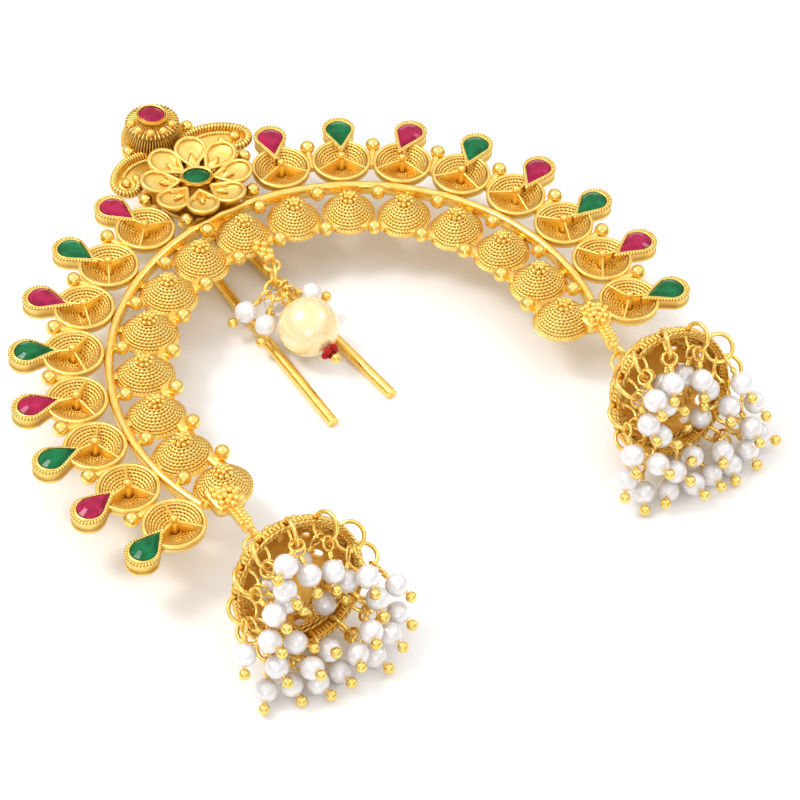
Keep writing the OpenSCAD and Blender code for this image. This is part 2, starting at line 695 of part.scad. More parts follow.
arc_frame();
flower_stone();
finial_stone();
hair_pin();
centre_bail();
centre_ring();
color(gold) centre_hung("pins", centre_rows);  // centre_pins
color("linen") centre_hung("pearls", small_rows);  // centre_pearls
color("wheat") centre_hung("pearls", [centre_rows[0]]);  // big_pearl
red_beads();
for (k = [0 : cups - 1]) {
    pear_stone(-1, k);
    pear_stone(1, k);
}
for (i = [0, 1]) {
    side = i == 0 ? "left" : "right";
    bell_link(i);
    bell(i);
    rim_rings_of(i);
    color(gold) hung(i, "pins");
    color("linen") hung(i, "pearls");
}
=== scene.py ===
# %% [markdown]
# # A festive bun pin of granulated gold
# The pin is a crescent of little gold domes and open cups, with cut stones round the outside, a flower and
# a domed finial at the top, and two bells with pearls that hang from its ends. A goldsmith makes such a
# piece from a few forms, each repeated many times: turned cups, ropes of twisted wire, granules and loops.
# This lesson works out the same few forms as surfaces with numpy, and repeats them in the same way.
#
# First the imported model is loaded, because it fixes every size and place. The sizes below are millimetres in
# the crescent's own frame, whose origin is the crescent's centre. LIFT moves that frame to its place above
# the table, and MM turns millimetres into metres.

# %% Load the frame
import math

import bpy
import numpy as np
from mathutils import Matrix


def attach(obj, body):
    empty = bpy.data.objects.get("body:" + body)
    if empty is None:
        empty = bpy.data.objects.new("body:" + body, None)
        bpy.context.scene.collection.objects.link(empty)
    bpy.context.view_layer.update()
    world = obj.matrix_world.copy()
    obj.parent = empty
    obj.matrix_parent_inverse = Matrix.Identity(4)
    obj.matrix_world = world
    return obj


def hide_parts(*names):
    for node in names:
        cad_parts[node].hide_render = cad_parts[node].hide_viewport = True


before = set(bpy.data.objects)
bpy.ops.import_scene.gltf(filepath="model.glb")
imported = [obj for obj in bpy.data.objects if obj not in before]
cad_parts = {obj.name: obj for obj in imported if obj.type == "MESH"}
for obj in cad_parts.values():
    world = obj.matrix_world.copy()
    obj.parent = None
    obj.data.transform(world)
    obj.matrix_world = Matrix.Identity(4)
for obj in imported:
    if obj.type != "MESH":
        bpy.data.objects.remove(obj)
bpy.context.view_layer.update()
MM = 0.001
LIFT = np.array([0.0, -7.2, 8.0])

# %% [markdown]
# The camera stands where the photographer stood. It is a place and three directions, which are the columns
# of its matrix: what is to its right, above it and behind it. Its numbers are a fit to the photograph.

# %% Camera
FOCAL_IN_PIXELS = 3208.403
PICTURE = 800
SENSOR = 36.0
to_right = np.array([0.82516636, -0.56472954, 0.01345462])
to_top = np.array([0.40470541, 0.60762516, 0.68337779])
to_back = np.cross(to_right, to_top)
camera_at = np.array([-160.0951, -236.1481, 296.5862]) + LIFT
camera_data = bpy.data.cameras.new("camera")
camera_data.sensor_width = SENSOR
camera_data.lens = FOCAL_IN_PIXELS / PICTURE * SENSOR
camera_data.clip_start = 0.01
camera_data.clip_end = 20.0
camera = bpy.data.objects.new("camera", camera_data)
bpy.context.collection.objects.link(camera)
facing = Matrix(np.column_stack([to_right, to_top, to_back]).tolist()).to_4x4()
camera.matrix_world = Matrix.Translation((camera_at * MM).tolist()) @ facing
bpy.context.scene.camera = camera
print("lens:", round(camera_data.lens, 1), "mm, distance:", round(float(np.linalg.norm(camera_at))), "mm")

# %% [markdown]
# A finish is a small graph of nodes. Written out node by node it is long and hard to read, so one small
# class wraps a socket and lets its maths be written as an expression: `0.3 + mask * 0.5` adds the nodes.
# Colours are mixed with a Mix node, because a Math node would turn them grey.

# %% A socket that can be calculated with
class Graph:
    """The nodes of a material or of the world. node() adds one: first its settings, then its inputs."""

    def __init__(self, owner, shader="Principled BSDF", place="Object"):
        owner.use_nodes = True
        self.owner, self.tree = owner, owner.node_tree
        self.shader = self.tree.nodes[shader]
        self.place = self.node("ShaderNodeTexCoord").outputs[place]

    def node(self, kind, settings=None, **inputs):
        made = self.tree.nodes.new(kind)
        for setting, value in (settings or {}).items():
            setattr(made, setting, value)
        for key, value in inputs.items():
            slot = made.inputs[int(key[1:])] if key[1:].isdigit() else made.inputs[key.replace("_", " ")]
            self.feed(slot, value)
        return made

    def feed(self, slot, value):
        value = value.socket if isinstance(value, Value) else value
        if isinstance(value, bpy.types.NodeSocket):
            self.tree.links.new(value, slot)
        else:
            slot.default_value = value

    def noise(self, scale, detail=2.0, rough=0.5):
        """Soft noise from 0 to 1 whose patches are about 1 / scale metres wide."""
        inputs = {"Vector": self.place, "Scale": scale, "Detail": detail, "Roughness": rough}
        return Value(self, self.node("ShaderNodeTexNoise", **inputs).outputs[0])

    def cells(self, scale):
        """Distance to the nearest of many scattered points: round cells about 1 / scale metres wide."""
        made = self.node("ShaderNodeTexVoronoi", Vector=self.place, Scale=scale)
        return Value(self, made.outputs["Distance"])

    def groove(self):
        """How deep this point lies in a groove, as the lump says it."""
        return Value(self, self.node("ShaderNodeAttribute", {"attribute_name": "groove"}).outputs["Fac"])

    def mix(self, amount, one, other):
        return self.node("ShaderNodeMix", {"data_type": "RGBA"}, _0=amount, _6=one, _7=other).outputs[2]

    def bump(self, height, strength, distance):
        made = self.node("ShaderNodeBump", Height=height, Strength=strength, Distance=distance)
        return made.outputs["Normal"]

    def finish(self, **shader):
        for key, value in shader.items():
            self.feed(self.shader.inputs[key.replace("_", " ")], value)
        return self.owner


class Value:
    """A socket with arithmetic: every operator adds one Math node."""

    def __init__(self, graph, socket):
        self.graph, self.socket = graph, socket

    def math(self, operation, one, other, clamp=False):
        settings = {"operation": operation, "use_clamp": clamp}
        return Value(self.graph, self.graph.node("ShaderNodeMath", settings, _0=one, _1=other).outputs[0])

    def __add__(self, other):
        return self.math("ADD", self, other)

    def __sub__(self, other):
        return self.math("SUBTRACT", self, other)

    def __rsub__(self, other):
        return self.math("SUBTRACT", other, self)

    def __mul__(self, other):
        return self.math("MULTIPLY", self, other)

    __radd__, __rmul__ = __add__, __mul__

    def between(self, low, high):
        """0 below low, 1 above high, and even in between."""
        return self.math("MULTIPLY", self - low, 1.0 / (high - low), clamp=True)


# %% [markdown]
# Gold has little colour of its own. It shows what stands around it, so the studio is a tent of white cloth
# that is bright overhead and darker low down, which gives every round form a light and a dark side. Three
# soft panels add clear highlights: a large one above and behind, and two smaller ones at the side and in
# front. The picture is developed without a film curve, because a curve would wash out the gold.

# %% Light
world = bpy.data.worlds.new("tent")
tent = Graph(world, "Background", "Generated")
height = Value(tent, tent.node("ShaderNodeSeparateXYZ", Vector=tent.place).outputs["Z"])
low_cloth, high_cloth = (0.42, 0.40, 0.38, 1.0), (1.25, 1.25, 1.25, 1.0)
tent.finish(Color=tent.mix(height.between(0.05, 0.75), low_cloth, high_cloth), Strength=0.95)
bpy.context.scene.world = world
bpy.context.scene.view_settings.view_transform = "Standard"
PANELS = {
    "key_panel": ((-0.21, 0.18, 0.42), 0.16, 0.95),
    "side_panel": ((0.40, -0.15, 0.35), 0.12, 0.30),
    "front_panel": ((-0.30, -0.45, 0.22), 0.14, 0.25),
}
for panel_name, (place, width, power) in PANELS.items():
    panel = bpy.data.lights.new(panel_name, "AREA")
    panel.shape = "DISK"
    panel.size = width
    panel.energy = power
    holder = bpy.data.objects.new(panel_name, panel)
    holder.location = place
    holder.rotation_mode = "QUATERNION"
    holder.rotation_quaternion = (-holder.location).to_track_quat("-Z", "Y")
    bpy.context.collection.objects.link(holder)
print("panels:", len(PANELS))

# %% [markdown]
# A surface here is a grid of points: rows along it, columns round it, and each little square cut into two
# triangles. A tube, a bowl and a ring differ only in whether the last row joins the first or each end is
# closed with a fan. The sign of the volume says whether the triangles face outwards, so a shape that comes
# out inside out is simply turned round.
#
# A "lump" below is three arrays: the points, the triangles, and a number from 0 to 1 for each point that
# says how deep it lies in a groove. The finish reads that number later to darken the grooves, as painted
# shade and partly patina.

# %% Surfaces from grids
def once_round(points):
    """Even angles once round a circle."""
    return np.linspace(0, 2 * np.pi, points, endpoint=False)


def circle(radius, turn, height=0.0):
    """A point for each angle: x = radius cos turn, y = radius sin turn, z = height."""
    return np.stack([radius * np.cos(turn), radius * np.sin(turn), 0 * turn + height], -1)


def unit(vectors):
    """Each vector divided by its own length."""
    return vectors / np.linalg.norm(vectors, axis=-1, keepdims=True)


def run_along(path):
    """The length of a path up to each of its points."""
    return np.append(0, np.cumsum(np.linalg.norm(np.diff(path, axis=0), axis=1)))


def by_row(values, rows, columns):
    """A full grid of values that come as one number, as one for each row or as one for each point."""
    values = np.array(values, float)
    return np.broadcast_to(values[:, None] if values.ndim == 1 else values, (rows, columns))


def outward(points, faces, depth):
    """The lump with its triangles facing out: volume = sum of a . (b x c) / 6 over the triangles."""
    a, b, c = points[faces[:, 0]], points[faces[:, 1]], points[faces[:, 2]]
    volume = (a * np.cross(b, c)).sum() / 6
    return points, faces if volume > 0 else faces[:, ::-1], depth


def skin(points, depth=0.0, ring=False):
    """Triangles over points[row, column]. Columns always run round. Rows join up as well if ring is true,
    and otherwise the first and the last row are each closed with a fan to their middle."""
    rows, columns = points.shape[:2]
    index = np.arange(rows * columns).reshape(rows, columns)
    here = index if ring else index[:-1]
    below = np.roll(index, -1, axis=0) if ring else index[1:]
    here_next, below_next = np.roll(here, -1, axis=1), np.roll(below, -1, axis=1)
    faces = [np.stack([here, here_next, below_next], -1).reshape(-1, 3),
             np.stack([here, below_next, below], -1).reshape(-1, 3)]
    vertices = points.reshape(-1, 3)
    depth = by_row(depth, rows, columns).reshape(-1)
    if not ring:
        vertices = np.vstack([vertices, points[0].mean(0), points[-1].mean(0)])
        depth = np.append(depth, [depth[:columns].mean(), depth[-columns:].mean()])
        first, last = index[0], index[-1]
        start, end = np.full(columns, rows * columns), np.full(columns, rows * columns + 1)
        faces += [np.stack([start, np.roll(first, -1), first], -1),
                  np.stack([end, last, np.roll(last, -1)], -1)]
    return outward(vertices, np.vstack(faces), depth)


def gather(*lumps):
    """Several lumps as one: their arrays end to end, with each lump's point numbers moved up."""
    starts = np.cumsum([0] + [len(lump[0]) for lump in lumps[:-1]])
    return (np.vstack([lump[0] for lump in lumps]),
            np.vstack([lump[1] + start for lump, start in zip(lumps, starts)]),
            np.concatenate([lump[2] for lump in lumps]))


def copies(lump, turns, moves=(0, 0, 0)):
    """The lump once for each 3 x 3 turn and move: point -> turn . point + move. Where there is only one
    turn or one move, it serves every copy."""
    points, faces, depth = lump
    placed = np.einsum("nij,pj->npi", np.asarray(turns, float), points) + np.reshape(moves, (-1, 1, 3))
    starts = (np.arange(len(placed)) * len(points))[:, None, None]
    return placed.reshape(-1, 3), (faces + starts).reshape(-1, 3), np.tile(depth, len(placed))


def moved(lump, move=(0, 0, 0), turn=0.0):
    """One copy of a lump, turned by some degrees about the upright and then moved."""
    return copies(lump, about_z([turn]), move)


def scaled(lump, factors):
    """The lump stretched along X, Y and Z; a negative factor mirrors it."""
    return outward(lump[0] * factors, *lump[1:])


def swapped(lump, order):
    """The lump with its X, Y and Z taken in another order."""
    return outward(lump[0][:, order], *lump[1:])


def about_z(degrees):
    """Turns about the upright, anticlockwise seen from above."""
    a = np.radians(np.atleast_1d(degrees))
    c, s, o = np.cos(a), np.sin(a), np.zeros_like(a)
    return np.stack([np.stack([c, -s, o], -1), np.stack([s, c, o], -1), np.stack([o, o, o + 1], -1)], 1)


def on_ring(radius, degrees, height=0.0):
    """Turns and moves that set a piece on a circle about the crescent's centre, its +Y pointing outwards.
    Degrees run clockwise from the flower: x = radius sin a, y = radius cos a."""
    a = np.radians(np.atleast_1d(degrees))
    moves = np.stack([radius * np.sin(a), radius * np.cos(a), np.full_like(a, height)], -1)
    return about_z(-np.degrees(a)), moves


def ring_of(lump, radius, degrees):
    """Copies of a lump on a circle about the crescent's centre."""
    return copies(lump, *on_ring(radius, degrees))


print("grid of 4 x 6:", len(skin(np.random.default_rng(1).random((4, 6, 3)))[1]), "triangles")

# %% [markdown]
# Four generators make nearly everything: a profile spun on a lathe, a round wire drawn along a path, a
# little ball, and an outline stacked into layers. The wire needs a direction square to its path at every
# point; on a gently turning path the upright does, crossed with the path.

# %% Lathe, wire, ball and stack
def turned(columns, *parts, ring=False):
    """A lathe form: x = radius cos t, y = radius sin t, z = height, for t once round. Its parts come one
    below the other. Each is its radii, its heights and its groove depths, with a value per row, or one per
    row and column where the form carries a relief."""
    grids = [[by_row(values, len(part[0]), columns) for values in part] for part in parts]
    radius, height, depth = [np.vstack(rows) for rows in zip(*grids)]
    return skin(circle(radius, once_round(columns), height), depth, ring)


def drawn(path, radius, sides, closed=False, upright=(0, 0, 1.0), depth=0.0):
    """A wire along a path: path + radius (cos t side + sin t over). Side is square to the path and to the
    upright, and over is square to the path and to side. Radius may hold a value per point and side."""
    path = np.asarray(path, float)
    step = unit(np.roll(path, -1, 0) - np.roll(path, 1, 0) if closed else np.gradient(path, axis=0))
    side = unit(np.cross(step, upright))
    over = np.cross(side, step)
    t = once_round(sides)[:, None]
    ring = np.cos(t) * side[:, None] + np.sin(t) * over[:, None]
    return skin(path[:, None] + by_row(radius, len(path), sides)[..., None] * ring, depth, ring=closed)


def ball(radius, columns, rows):
    """A ball: radius = r sin v, height = r cos v, for v from pole to pole."""
    v = np.linspace(0, np.pi, rows + 1)[1:-1]
    return turned(columns, (radius * np.sin(v), radius * np.cos(v), 0))


def balls(centres, radius, columns, rows):
    """The same ball at each centre."""
    return copies(ball(radius, columns, rows), [np.eye(3)], centres)


def stacked(outline, scales, heights, depth=0.0, inner=None):
    """Layers of an outline: each row is the outline drawn in by a scale, at a height. It's drawn in towards
    an inner outline, or else towards its own middle."""
    inner = (outline.max(0) + outline.min(0)) / 2 if inner is None else inner
    flat = inner + (outline - inner) * np.reshape(scales, (-1, 1, 1))
    return skin(np.dstack([flat, by_row(heights, *flat.shape[:2])]), depth)


def slab(outline, low, high, bevel=0.08):
    """A plate with softened edges: the outline, drawn in a little at its top and bottom."""
    draw = 1 - 2 * bevel / np.ptp(outline, axis=0).min()
    return stacked(outline, [draw, 1, 1, draw], [low, low + bevel, high - bevel, high])


def rounded(width, length, points=24, power=4.0):
    """A rectangle with round corners, as a superellipse: |x|^p + |y|^p = 1 stretched to size."""
    way = circle(1.0, once_round(points))[:, :2]
    return np.sign(way) * np.abs(way) ** (2 / power) * [width / 2, length / 2]


def rope(path, radius, strands, pitch, sides, closed=False, dent=0.16):
    """A twisted wire: radius falls by dent (1 - |cos((strands t - turn) / 2)|), and turn grows along the
    path by one round for each pitch. One strand with a short pitch is a wire wound round a wire."""
    run = run_along(path)
    length = run[-1] + (np.linalg.norm(path[0] - path[-1]) if closed else 0)
    rounds = max(1, round(length / pitch)) * 2 * np.pi / length if closed else 2 * np.pi / pitch
    wave = 1 - np.abs(np.cos((strands * once_round(sides)[None] - run[:, None] * rounds) / 2))
    return drawn(path, radius * (1 - dent * wave), sides, closed, depth=wave ** 1.5)


print("ball:", len(ball(1, 16, 9)[1]), "triangles")

# %% [markdown]
# The whole piece is plated in one gold, in three finishes. The granulated work keeps the matt skin of its
# plating bath, and its grooves are painted darker, redder gold: partly the patina left where no cloth reaches,
# partly painted shade of the hollows. Balls, rail and wires are rubbed bright, and the bells' walls are
# painted darker and more amber, as painted shade of their insides. The highlights come from the light alone.

# %% Gold
BRIGHT_GOLD = (1.0, 0.76, 0.25, 1.0)
WARM_GOLD = (0.98, 0.57, 0.08, 1.0)
SHADE_AND_PATINA_GOLD = (0.22, 0.07, 0.001, 1.0)
AMBER_GOLD = (0.80, 0.36, 0.02, 1.0)


def gold(name, rough, skin_bump, groove_pull, shade=0.0):
    """Metal: patches of bright and warm gold, deep gold in the grooves, and a fine uneven skin. The deep gold
    is partly patina and partly painted shade of the grooves. Shade mixes some amber gold in everywhere."""
    g = Graph(bpy.data.materials.new(name))
    patches = g.noise(900.0, 3.0).between(0.35, 0.7)
    fine = g.noise(9000.0, 4.0, 0.65)
    groove = g.groove()
    plain = g.mix(shade, g.mix(patches * 0.6, BRIGHT_GOLD, WARM_GOLD), AMBER_GOLD)
    # The grooves are painted darker with the deep gold: partly patina, partly painted shade.
    colour = g.mix(groove * groove_pull, plain, SHADE_AND_PATINA_GOLD)
    height = fine + 0.4 * g.cells(5200.0)
    return g.finish(Base_Color=colour, Metallic=1.0, Roughness=rough + 0.12 * fine + 0.15 * groove,
                    Normal=g.bump(height, skin_bump, 0.00004))


matt_gold = gold("matt_gold", 0.25, 0.6, 1.0, 0.1)
rubbed_gold = gold("rubbed_gold", 0.14, 0.22, 0.6, 0.06)
# The bells' walls get this darker, amber copy of the gold: painted shade of their insides.
shaded_gold = gold("shaded_gold", 0.3, 1.0, 0.9, 0.5)
print("golds:", matt_gold.name, rubbed_gold.name, shaded_gold.name)

# %% [markdown]
# The stones are glass backed with foil, so their colour is strong even in shade. A clear coat gives the
# sharp reflection of the facets, and cloudy patches inside keep them from looking like paint. The pearls
# are glass dipped in pearl varnish: nearly white, with a soft sheen and a faint rosy or golden cloud. The
# beads under the large pearl are plain red glass.

# %% Stones, pearls and beads
def foiled(name, light, dark):
    """Foil-backed glass: cloudy light and dark patches of one colour under a polished coat. The round cells
    are painted light and shade of the facets.
    """
    g = Graph(bpy.data.materials.new(name))
    cloud = g.noise(420.0, 3.0, 0.6).between(0.35, 0.72)
    # Round cells stand in for the light and dark facets: painted light and shade.
    painted_facet_light = g.cells(700.0).between(0.1, 0.8)
    colour = g.mix(cloud * 0.6 + 0.4 * painted_facet_light, dark, light)
    return g.finish(Base_Color=colour, Roughness=0.12 + 0.1 * cloud, Coat_Weight=0.14, Coat_Roughness=0.03,
                    Specular_IOR_Level=0.18, Normal=g.bump(cloud, 0.1, 0.0001))


def pearled(name, body, cloud_colour, rough, sheen):
    """Pearl varnish: a pale body with wide soft clouds, a coat, and pits too small to see singly. Sheen is
    how much of the light the thin layers of the varnish throw back like a mirror."""
    g = Graph(bpy.data.materials.new(name))
    cloud = g.noise(380.0, 2.0).between(0.3, 0.75)
    pits = g.noise(5200.0, 2.0)
    colour = g.mix(cloud, body, cloud_colour)
    return g.finish(Base_Color=colour, Roughness=rough + 0.08 * pits, Metallic=sheen, Coat_Weight=0.9,
                    Coat_Roughness=0.14, Normal=g.bump(pits + 0.8 * cloud, 0.12, 0.00006))


ruby = foiled("ruby", (0.52, 0.010, 0.09, 1.0), (0.20, 0.001, 0.02, 1.0))
emerald = foiled("emerald", (0.0, 0.21, 0.06, 1.0), (0.0, 0.06, 0.015, 1.0))
white_pearl = pearled("white_pearl", (0.88, 0.875, 0.875, 1.0), (0.79, 0.75, 0.76, 1.0), 0.3, 0.3)
cream_pearl = pearled("cream_pearl", (1.0, 0.86, 0.54, 1.0), (0.96, 0.72, 0.32, 1.0), 0.24, 0.32)
red_glass = foiled("red_glass", (0.55, 0.004, 0.004, 1.0), (0.3, 0.0, 0.0, 1.0))
print("stones and pearls:", [m.name for m in (ruby, emerald, white_pearl, cream_pearl, red_glass)])

# %% [markdown]
# A lump becomes an object here: its points go above the table, in metres, straight into a mesh, and the
# groove depth goes with them as an attribute. Every piece rides on the frame's one body, and a piece that
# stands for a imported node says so.

# %% From lump to object
made_triangles = []


def piece(name, lump, finish=matt_gold, replaces=("arc_frame",), crease=50.0):
    """A mesh object from a lump; edges that fold more than the crease angle stay sharp."""
    points, faces, depth = lump
    mesh = bpy.data.meshes.new(name)
    mesh.from_pydata((points + LIFT) * MM, (), faces)
    mesh.attributes.new("groove", "FLOAT", "POINT").data.foreach_set("value", depth.astype(np.float32))
    mesh.polygons.foreach_set("use_smooth", np.ones(len(faces), bool))
    mesh.materials.append(finish)
    mesh.update()
    mesh.set_sharp_from_angle(angle=math.radians(crease))
    made = bpy.data.objects.new(name, mesh)
    bpy.context.collection.objects.link(made)
    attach(made, "root")
    if replaces:
        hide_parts(*replaces)
    made_triangles.append(len(faces))
    print(name, len(faces), "triangles")


# %% [markdown]
# The granulated skin of the domes and cups is made of ropes of wire laid side by side, each rope a row of
# little beads. Seen from afar only the pits between four beads show, as rows of dark dots. So the relief
# is a hump across each rope, and in the gaps between ropes a pit between every two beads.

# %% Granulated skin
ROPE, BEAD = 0.42, 0.48
ROUND_BEADS = np.array([16, 24, 32, 48])
FINE_COLUMNS = 192


def granulated(arc, radius):
    """Height from 0 to 1 for each row and column. Across a rope: hump = sin(pi s), with s its place in the
    rope. Along it: bead = (1 + cos(n t)) / 2, shifted by half a bead in every second rope. Height is
    1 - 0.3 (1 - hump) - 0.7 (1 - hump)(1 - bead) - 0.15 hump (1 - bead). The second thing returned is
    how dark each point is: ((1 - hump)(1 - bead))^0.55, painted shade in the pits between the beads."""
    number = np.floor(arc / ROPE + 1e-6)
    wanted = 2 * np.pi * radius / BEAD
    count = ROUND_BEADS[np.abs(wanted[:, None] - ROUND_BEADS).argmin(1)]
    count = count[np.searchsorted(number, number)]
    bead = 0.5 + 0.5 * np.cos(count[:, None] * once_round(FINE_COLUMNS) + np.pi * (number % 2)[:, None])
    hump = np.sin(np.pi * (arc / ROPE - number))[:, None]
    pit = (1 - hump) * (1 - bead)
    return 1 - 0.3 * (1 - hump) - 0.7 * pit - 0.15 * hump * (1 - bead), pit ** 0.55


def granules(radius, height, size, count):
    """A ring of equal granules."""
    return balls(circle(radius, once_round(count), height), size, 8, 6)


# %% [markdown]
# A dome is a hollow rounded cone, a little longer across the crescent than along it. Ropes of wire cover
# the outside, two plain wires run round the foot, and a heap of small granules sits on the top. The profile
# runs from the top down the outside, round the foot and back up the inside.

# %% Domes
DOME_FOOT, DOME_LOW, DOME_HIGH, DOME_STRETCH = 3.55, -0.75, 2.45, 1.1
DOME_RING, DOME_STEP = 27.5, 15.49
HEAP_EDGE, ROPE_RELIEF = 1.2, 0.24


def dome_curve(shares):
    """The rounded cone: radius = R s, height = low + (high - low)(1 - s^1.7), for s from 0 to 1."""
    return DOME_FOOT * shares, DOME_LOW + (DOME_HIGH - DOME_LOW) * (1 - shares ** 1.7)


def dome():
    """The ropes' relief is taken off square to the curve: point - 0.24 (1 - relief) normal, where the
    normal of a curve (r, z) of length s is (-dz/ds, dr/ds)."""
    fine_r, fine_z = dome_curve(np.linspace(0, 1, 400))
    run = run_along(np.stack([fine_r, fine_z], -1))
    arc = np.arange(HEAP_EDGE, run[-1] - 0.02, ROPE / 4)
    r, z = np.interp(arc, run, fine_r), np.interp(arc, run, fine_z)
    slope_r, slope_z = np.gradient(r, arc)[:, None], np.gradient(z, arc)[:, None]
    relief, pits = granulated(arc - HEAP_EDGE, r)
    off = ROPE_RELIEF * (1 - relief)
    top_r, top_z = dome_curve(np.array([0.05, 0.16, 0.27]))
    foot_r = [3.54, 3.60, 3.62, 3.60, 3.50, 3.58, 3.62, 3.56, 3.3, 3.0, 3.0]
    foot_z = [-0.76, -0.79, -0.86, -0.93, -0.96, -1.0, -1.05, -1.1, -1.1, -1.1, -0.95]
    in_r, in_z = dome_curve(np.array([0.95, 0.8, 0.6, 0.35, 0.1]))
    # The groove numbers of the top, the fold under the foot and the inside are painted shade.
    foot_dark = [0.2, 0, 0, 0.1, 0.8, 0.1, 0, 0, 0, 0, 0.2]
    shell = turned(FINE_COLUMNS, (top_r, top_z, 0.4),
                   (r[:, None] + off * slope_z, z[:, None] - off * slope_r, pits),
                   (foot_r, foot_z, foot_dark), (in_r * 0.87, in_z - 0.45, 0.3))
    return gather(scaled(shell, [1, DOME_STRETCH, 1]), granules(1.0, 2.2, 0.33, 9),
                  granules(0.5, 2.55, 0.34, 5), moved(ball(0.36, 8, 6), (0, 0, 2.75)))


dome_angles = DOME_STEP * np.arange(-7, 8)
one_dome = dome()
piece("domes_left", ring_of(one_dome, DOME_RING, dome_angles[:7]), crease=80)
piece("domes_right", ring_of(one_dome, DOME_RING, dome_angles[7:]), crease=80)

# %% [markdown]
# The rail is a strip of sheet on edge with a round wire along the top, and it holds both rows together. A
# flat strip runs under the inner edge of the domes. Both are a section carried along an arc. A lug joins
# each dome to the rail.

# %% Rail and strip
RAIL_RADIUS, RAIL_WIRE = 32, 0.6


def along_arc(section, reach, points):
    """A section of radii and heights carried round the crescent's centre, from -reach to reach degrees:
    x = r sin a, y = r cos a."""
    a = np.radians(np.linspace(-reach, reach, points))[:, None]
    r, z = np.array(section, float).T
    return skin(np.stack([r * np.sin(a), r * np.cos(a), 0 * a + z], -1))


wire_t = np.radians(np.linspace(-35, 215, 15))
wire_section = circle(RAIL_WIRE, wire_t)[:, :2] + [RAIL_RADIUS, 0.05]
rail_section = [[32.5, -1.1], [32.52, -1.0], [32.52, -0.3], *wire_section,
                [31.48, -0.3], [31.48, -1.0], [31.5, -1.1]]
strip_section = [[24.4, -1.0], [24.45, -1.04], [25.75, -1.04], [25.8, -1.0], [25.8, -0.33], [25.76, -0.29],
                 [24.44, -0.29], [24.4, -0.33]]
lugs = ring_of(slab(rounded(1.2, 1.0), -1.0, -0.3), DOME_RING + 3.65, dome_angles)
piece("rail", gather(along_arc(rail_section, 109, 260), lugs), rubbed_gold)
piece("back_strip", along_arc(strip_section, 108.4, 160))

# %% [markdown]
# An open cup is a dome turned over: the ropes run round the inside of the bowl, a rolled wire and a short
# band edge it, and a post with a ball stands in the middle. Three thin plates on edge join post and rim.

# %% Cups
BOWL_INSIDE, BOWL_MIDDLE = 4.55, 3.45
POST_EDGE, CUP_RELIEF = 0.6, 0.22
RIM_RADIUS, RIM_WIRE, RIM_HEIGHT = 3.75, 0.28, 0.45
CUP_RING = 36.6


def cup():
    """Inside: radius = R sin v, height = middle - R cos v, with the relief standing up from the bowl."""
    arc = POST_EDGE + ROPE / 4 * np.arange(33)
    v = arc / BOWL_INSIDE
    relief, pits = granulated(arc - POST_EDGE, BOWL_INSIDE * np.sin(v))
    shell = BOWL_INSIDE - CUP_RELIEF * relief
    rim_t = np.radians(np.linspace(200, -25, 9))
    band_r = [3.96, 3.97, 3.95, 3.90, 3.6, 3.52, 3.0, 2.3, 1.2]
    band_z = [0.28, -0.1, -0.38, -0.45, -0.45, -0.2, -0.56, -1.0, -1.42]
    rim_r, rim_z = RIM_RADIUS + RIM_WIRE * np.cos(rim_t), RIM_HEIGHT + RIM_WIRE * np.sin(rim_t)
    # The band's groove numbers darken its folds under the rim wire as painted shade.
    band_dark = [0.5, 0, 0, 0, 0.2, 0.5, 0.2, 0.2, 0.2]
    bowl = turned(FINE_COLUMNS, (shell * np.sin(v)[:, None], BOWL_MIDDLE - shell * np.cos(v)[:, None], pits),
                  (rim_r, rim_z, 0), (band_r, band_z, band_dark))
    ball_t = np.radians(np.linspace(140, 12, 8))
    post_r = [0.46, 0.42, 0.42, *0.55 * np.sin(ball_t)]
    post_z = [-1.35, -0.6, 0.85, *1.35 + 0.55 * np.cos(ball_t)]
    return gather(bowl, turned(14, (post_r, post_z, 0)))


plate_outline = [[0.2, -1.3], [2, -0.95], [3, -0.4], [3.7, 0.35], [3.7, 0.5], [2, 0.72], [0.2, 0.95]]
plate = swapped(slab(np.array(plate_outline), -0.1, 0.1, 0.04), [0, 2, 1])
plate_wire = drawn([[0.3, 0, 0.98], [1.2, 0, 0.88], [2.4, 0, 0.72], [3.72, 0, 0.55]], 0.17, 10)
one_cup = gather(cup(), copies(gather(plate, plate_wire), about_z([90, 210, 330])))
cup_angles = 17.1 + 13 * np.arange(8)
piece("cups_left", ring_of(one_cup, CUP_RING, -cup_angles), crease=80)
piece("cups_right", ring_of(one_cup, CUP_RING, cup_angles), crease=80)

# %% [markdown]
# Every cup carries a pear-shaped stone in a setting: a wall of sheet with a thin lip over the stone, and a
# wound wire round its shoulder that looks like a row of tiny beads. The outline is a half circle drawn in
# to a tip, with its points evenly spread, so that the winding is even too.

# %% Settings
STONE_RING = 41.5


def pear(length, width, points):
    """A pear outline, round end along +Y: the tip, two straight sides and an arc, evenly spaced."""
    r = width / 2
    c = length / 2 - r
    lean = math.asin(r / (c + length / 2))
    t = np.linspace(-lean, math.pi + lean, 80)
    edge = np.vstack([[0, -length / 2], circle(r, t)[:, :2] + [0, c], [0, -length / 2]])
    run = run_along(edge)
    even = np.linspace(0, run[-1], points, endpoint=False)
    return np.stack([np.interp(even, run, edge[:, 0]), np.interp(even, run, edge[:, 1])], -1)


def oval(length, width, points):
    """An ellipse: a circle stretched to its length and width."""
    return circle(1.0, once_round(points))[:, :2] * [length / 2, width / 2]


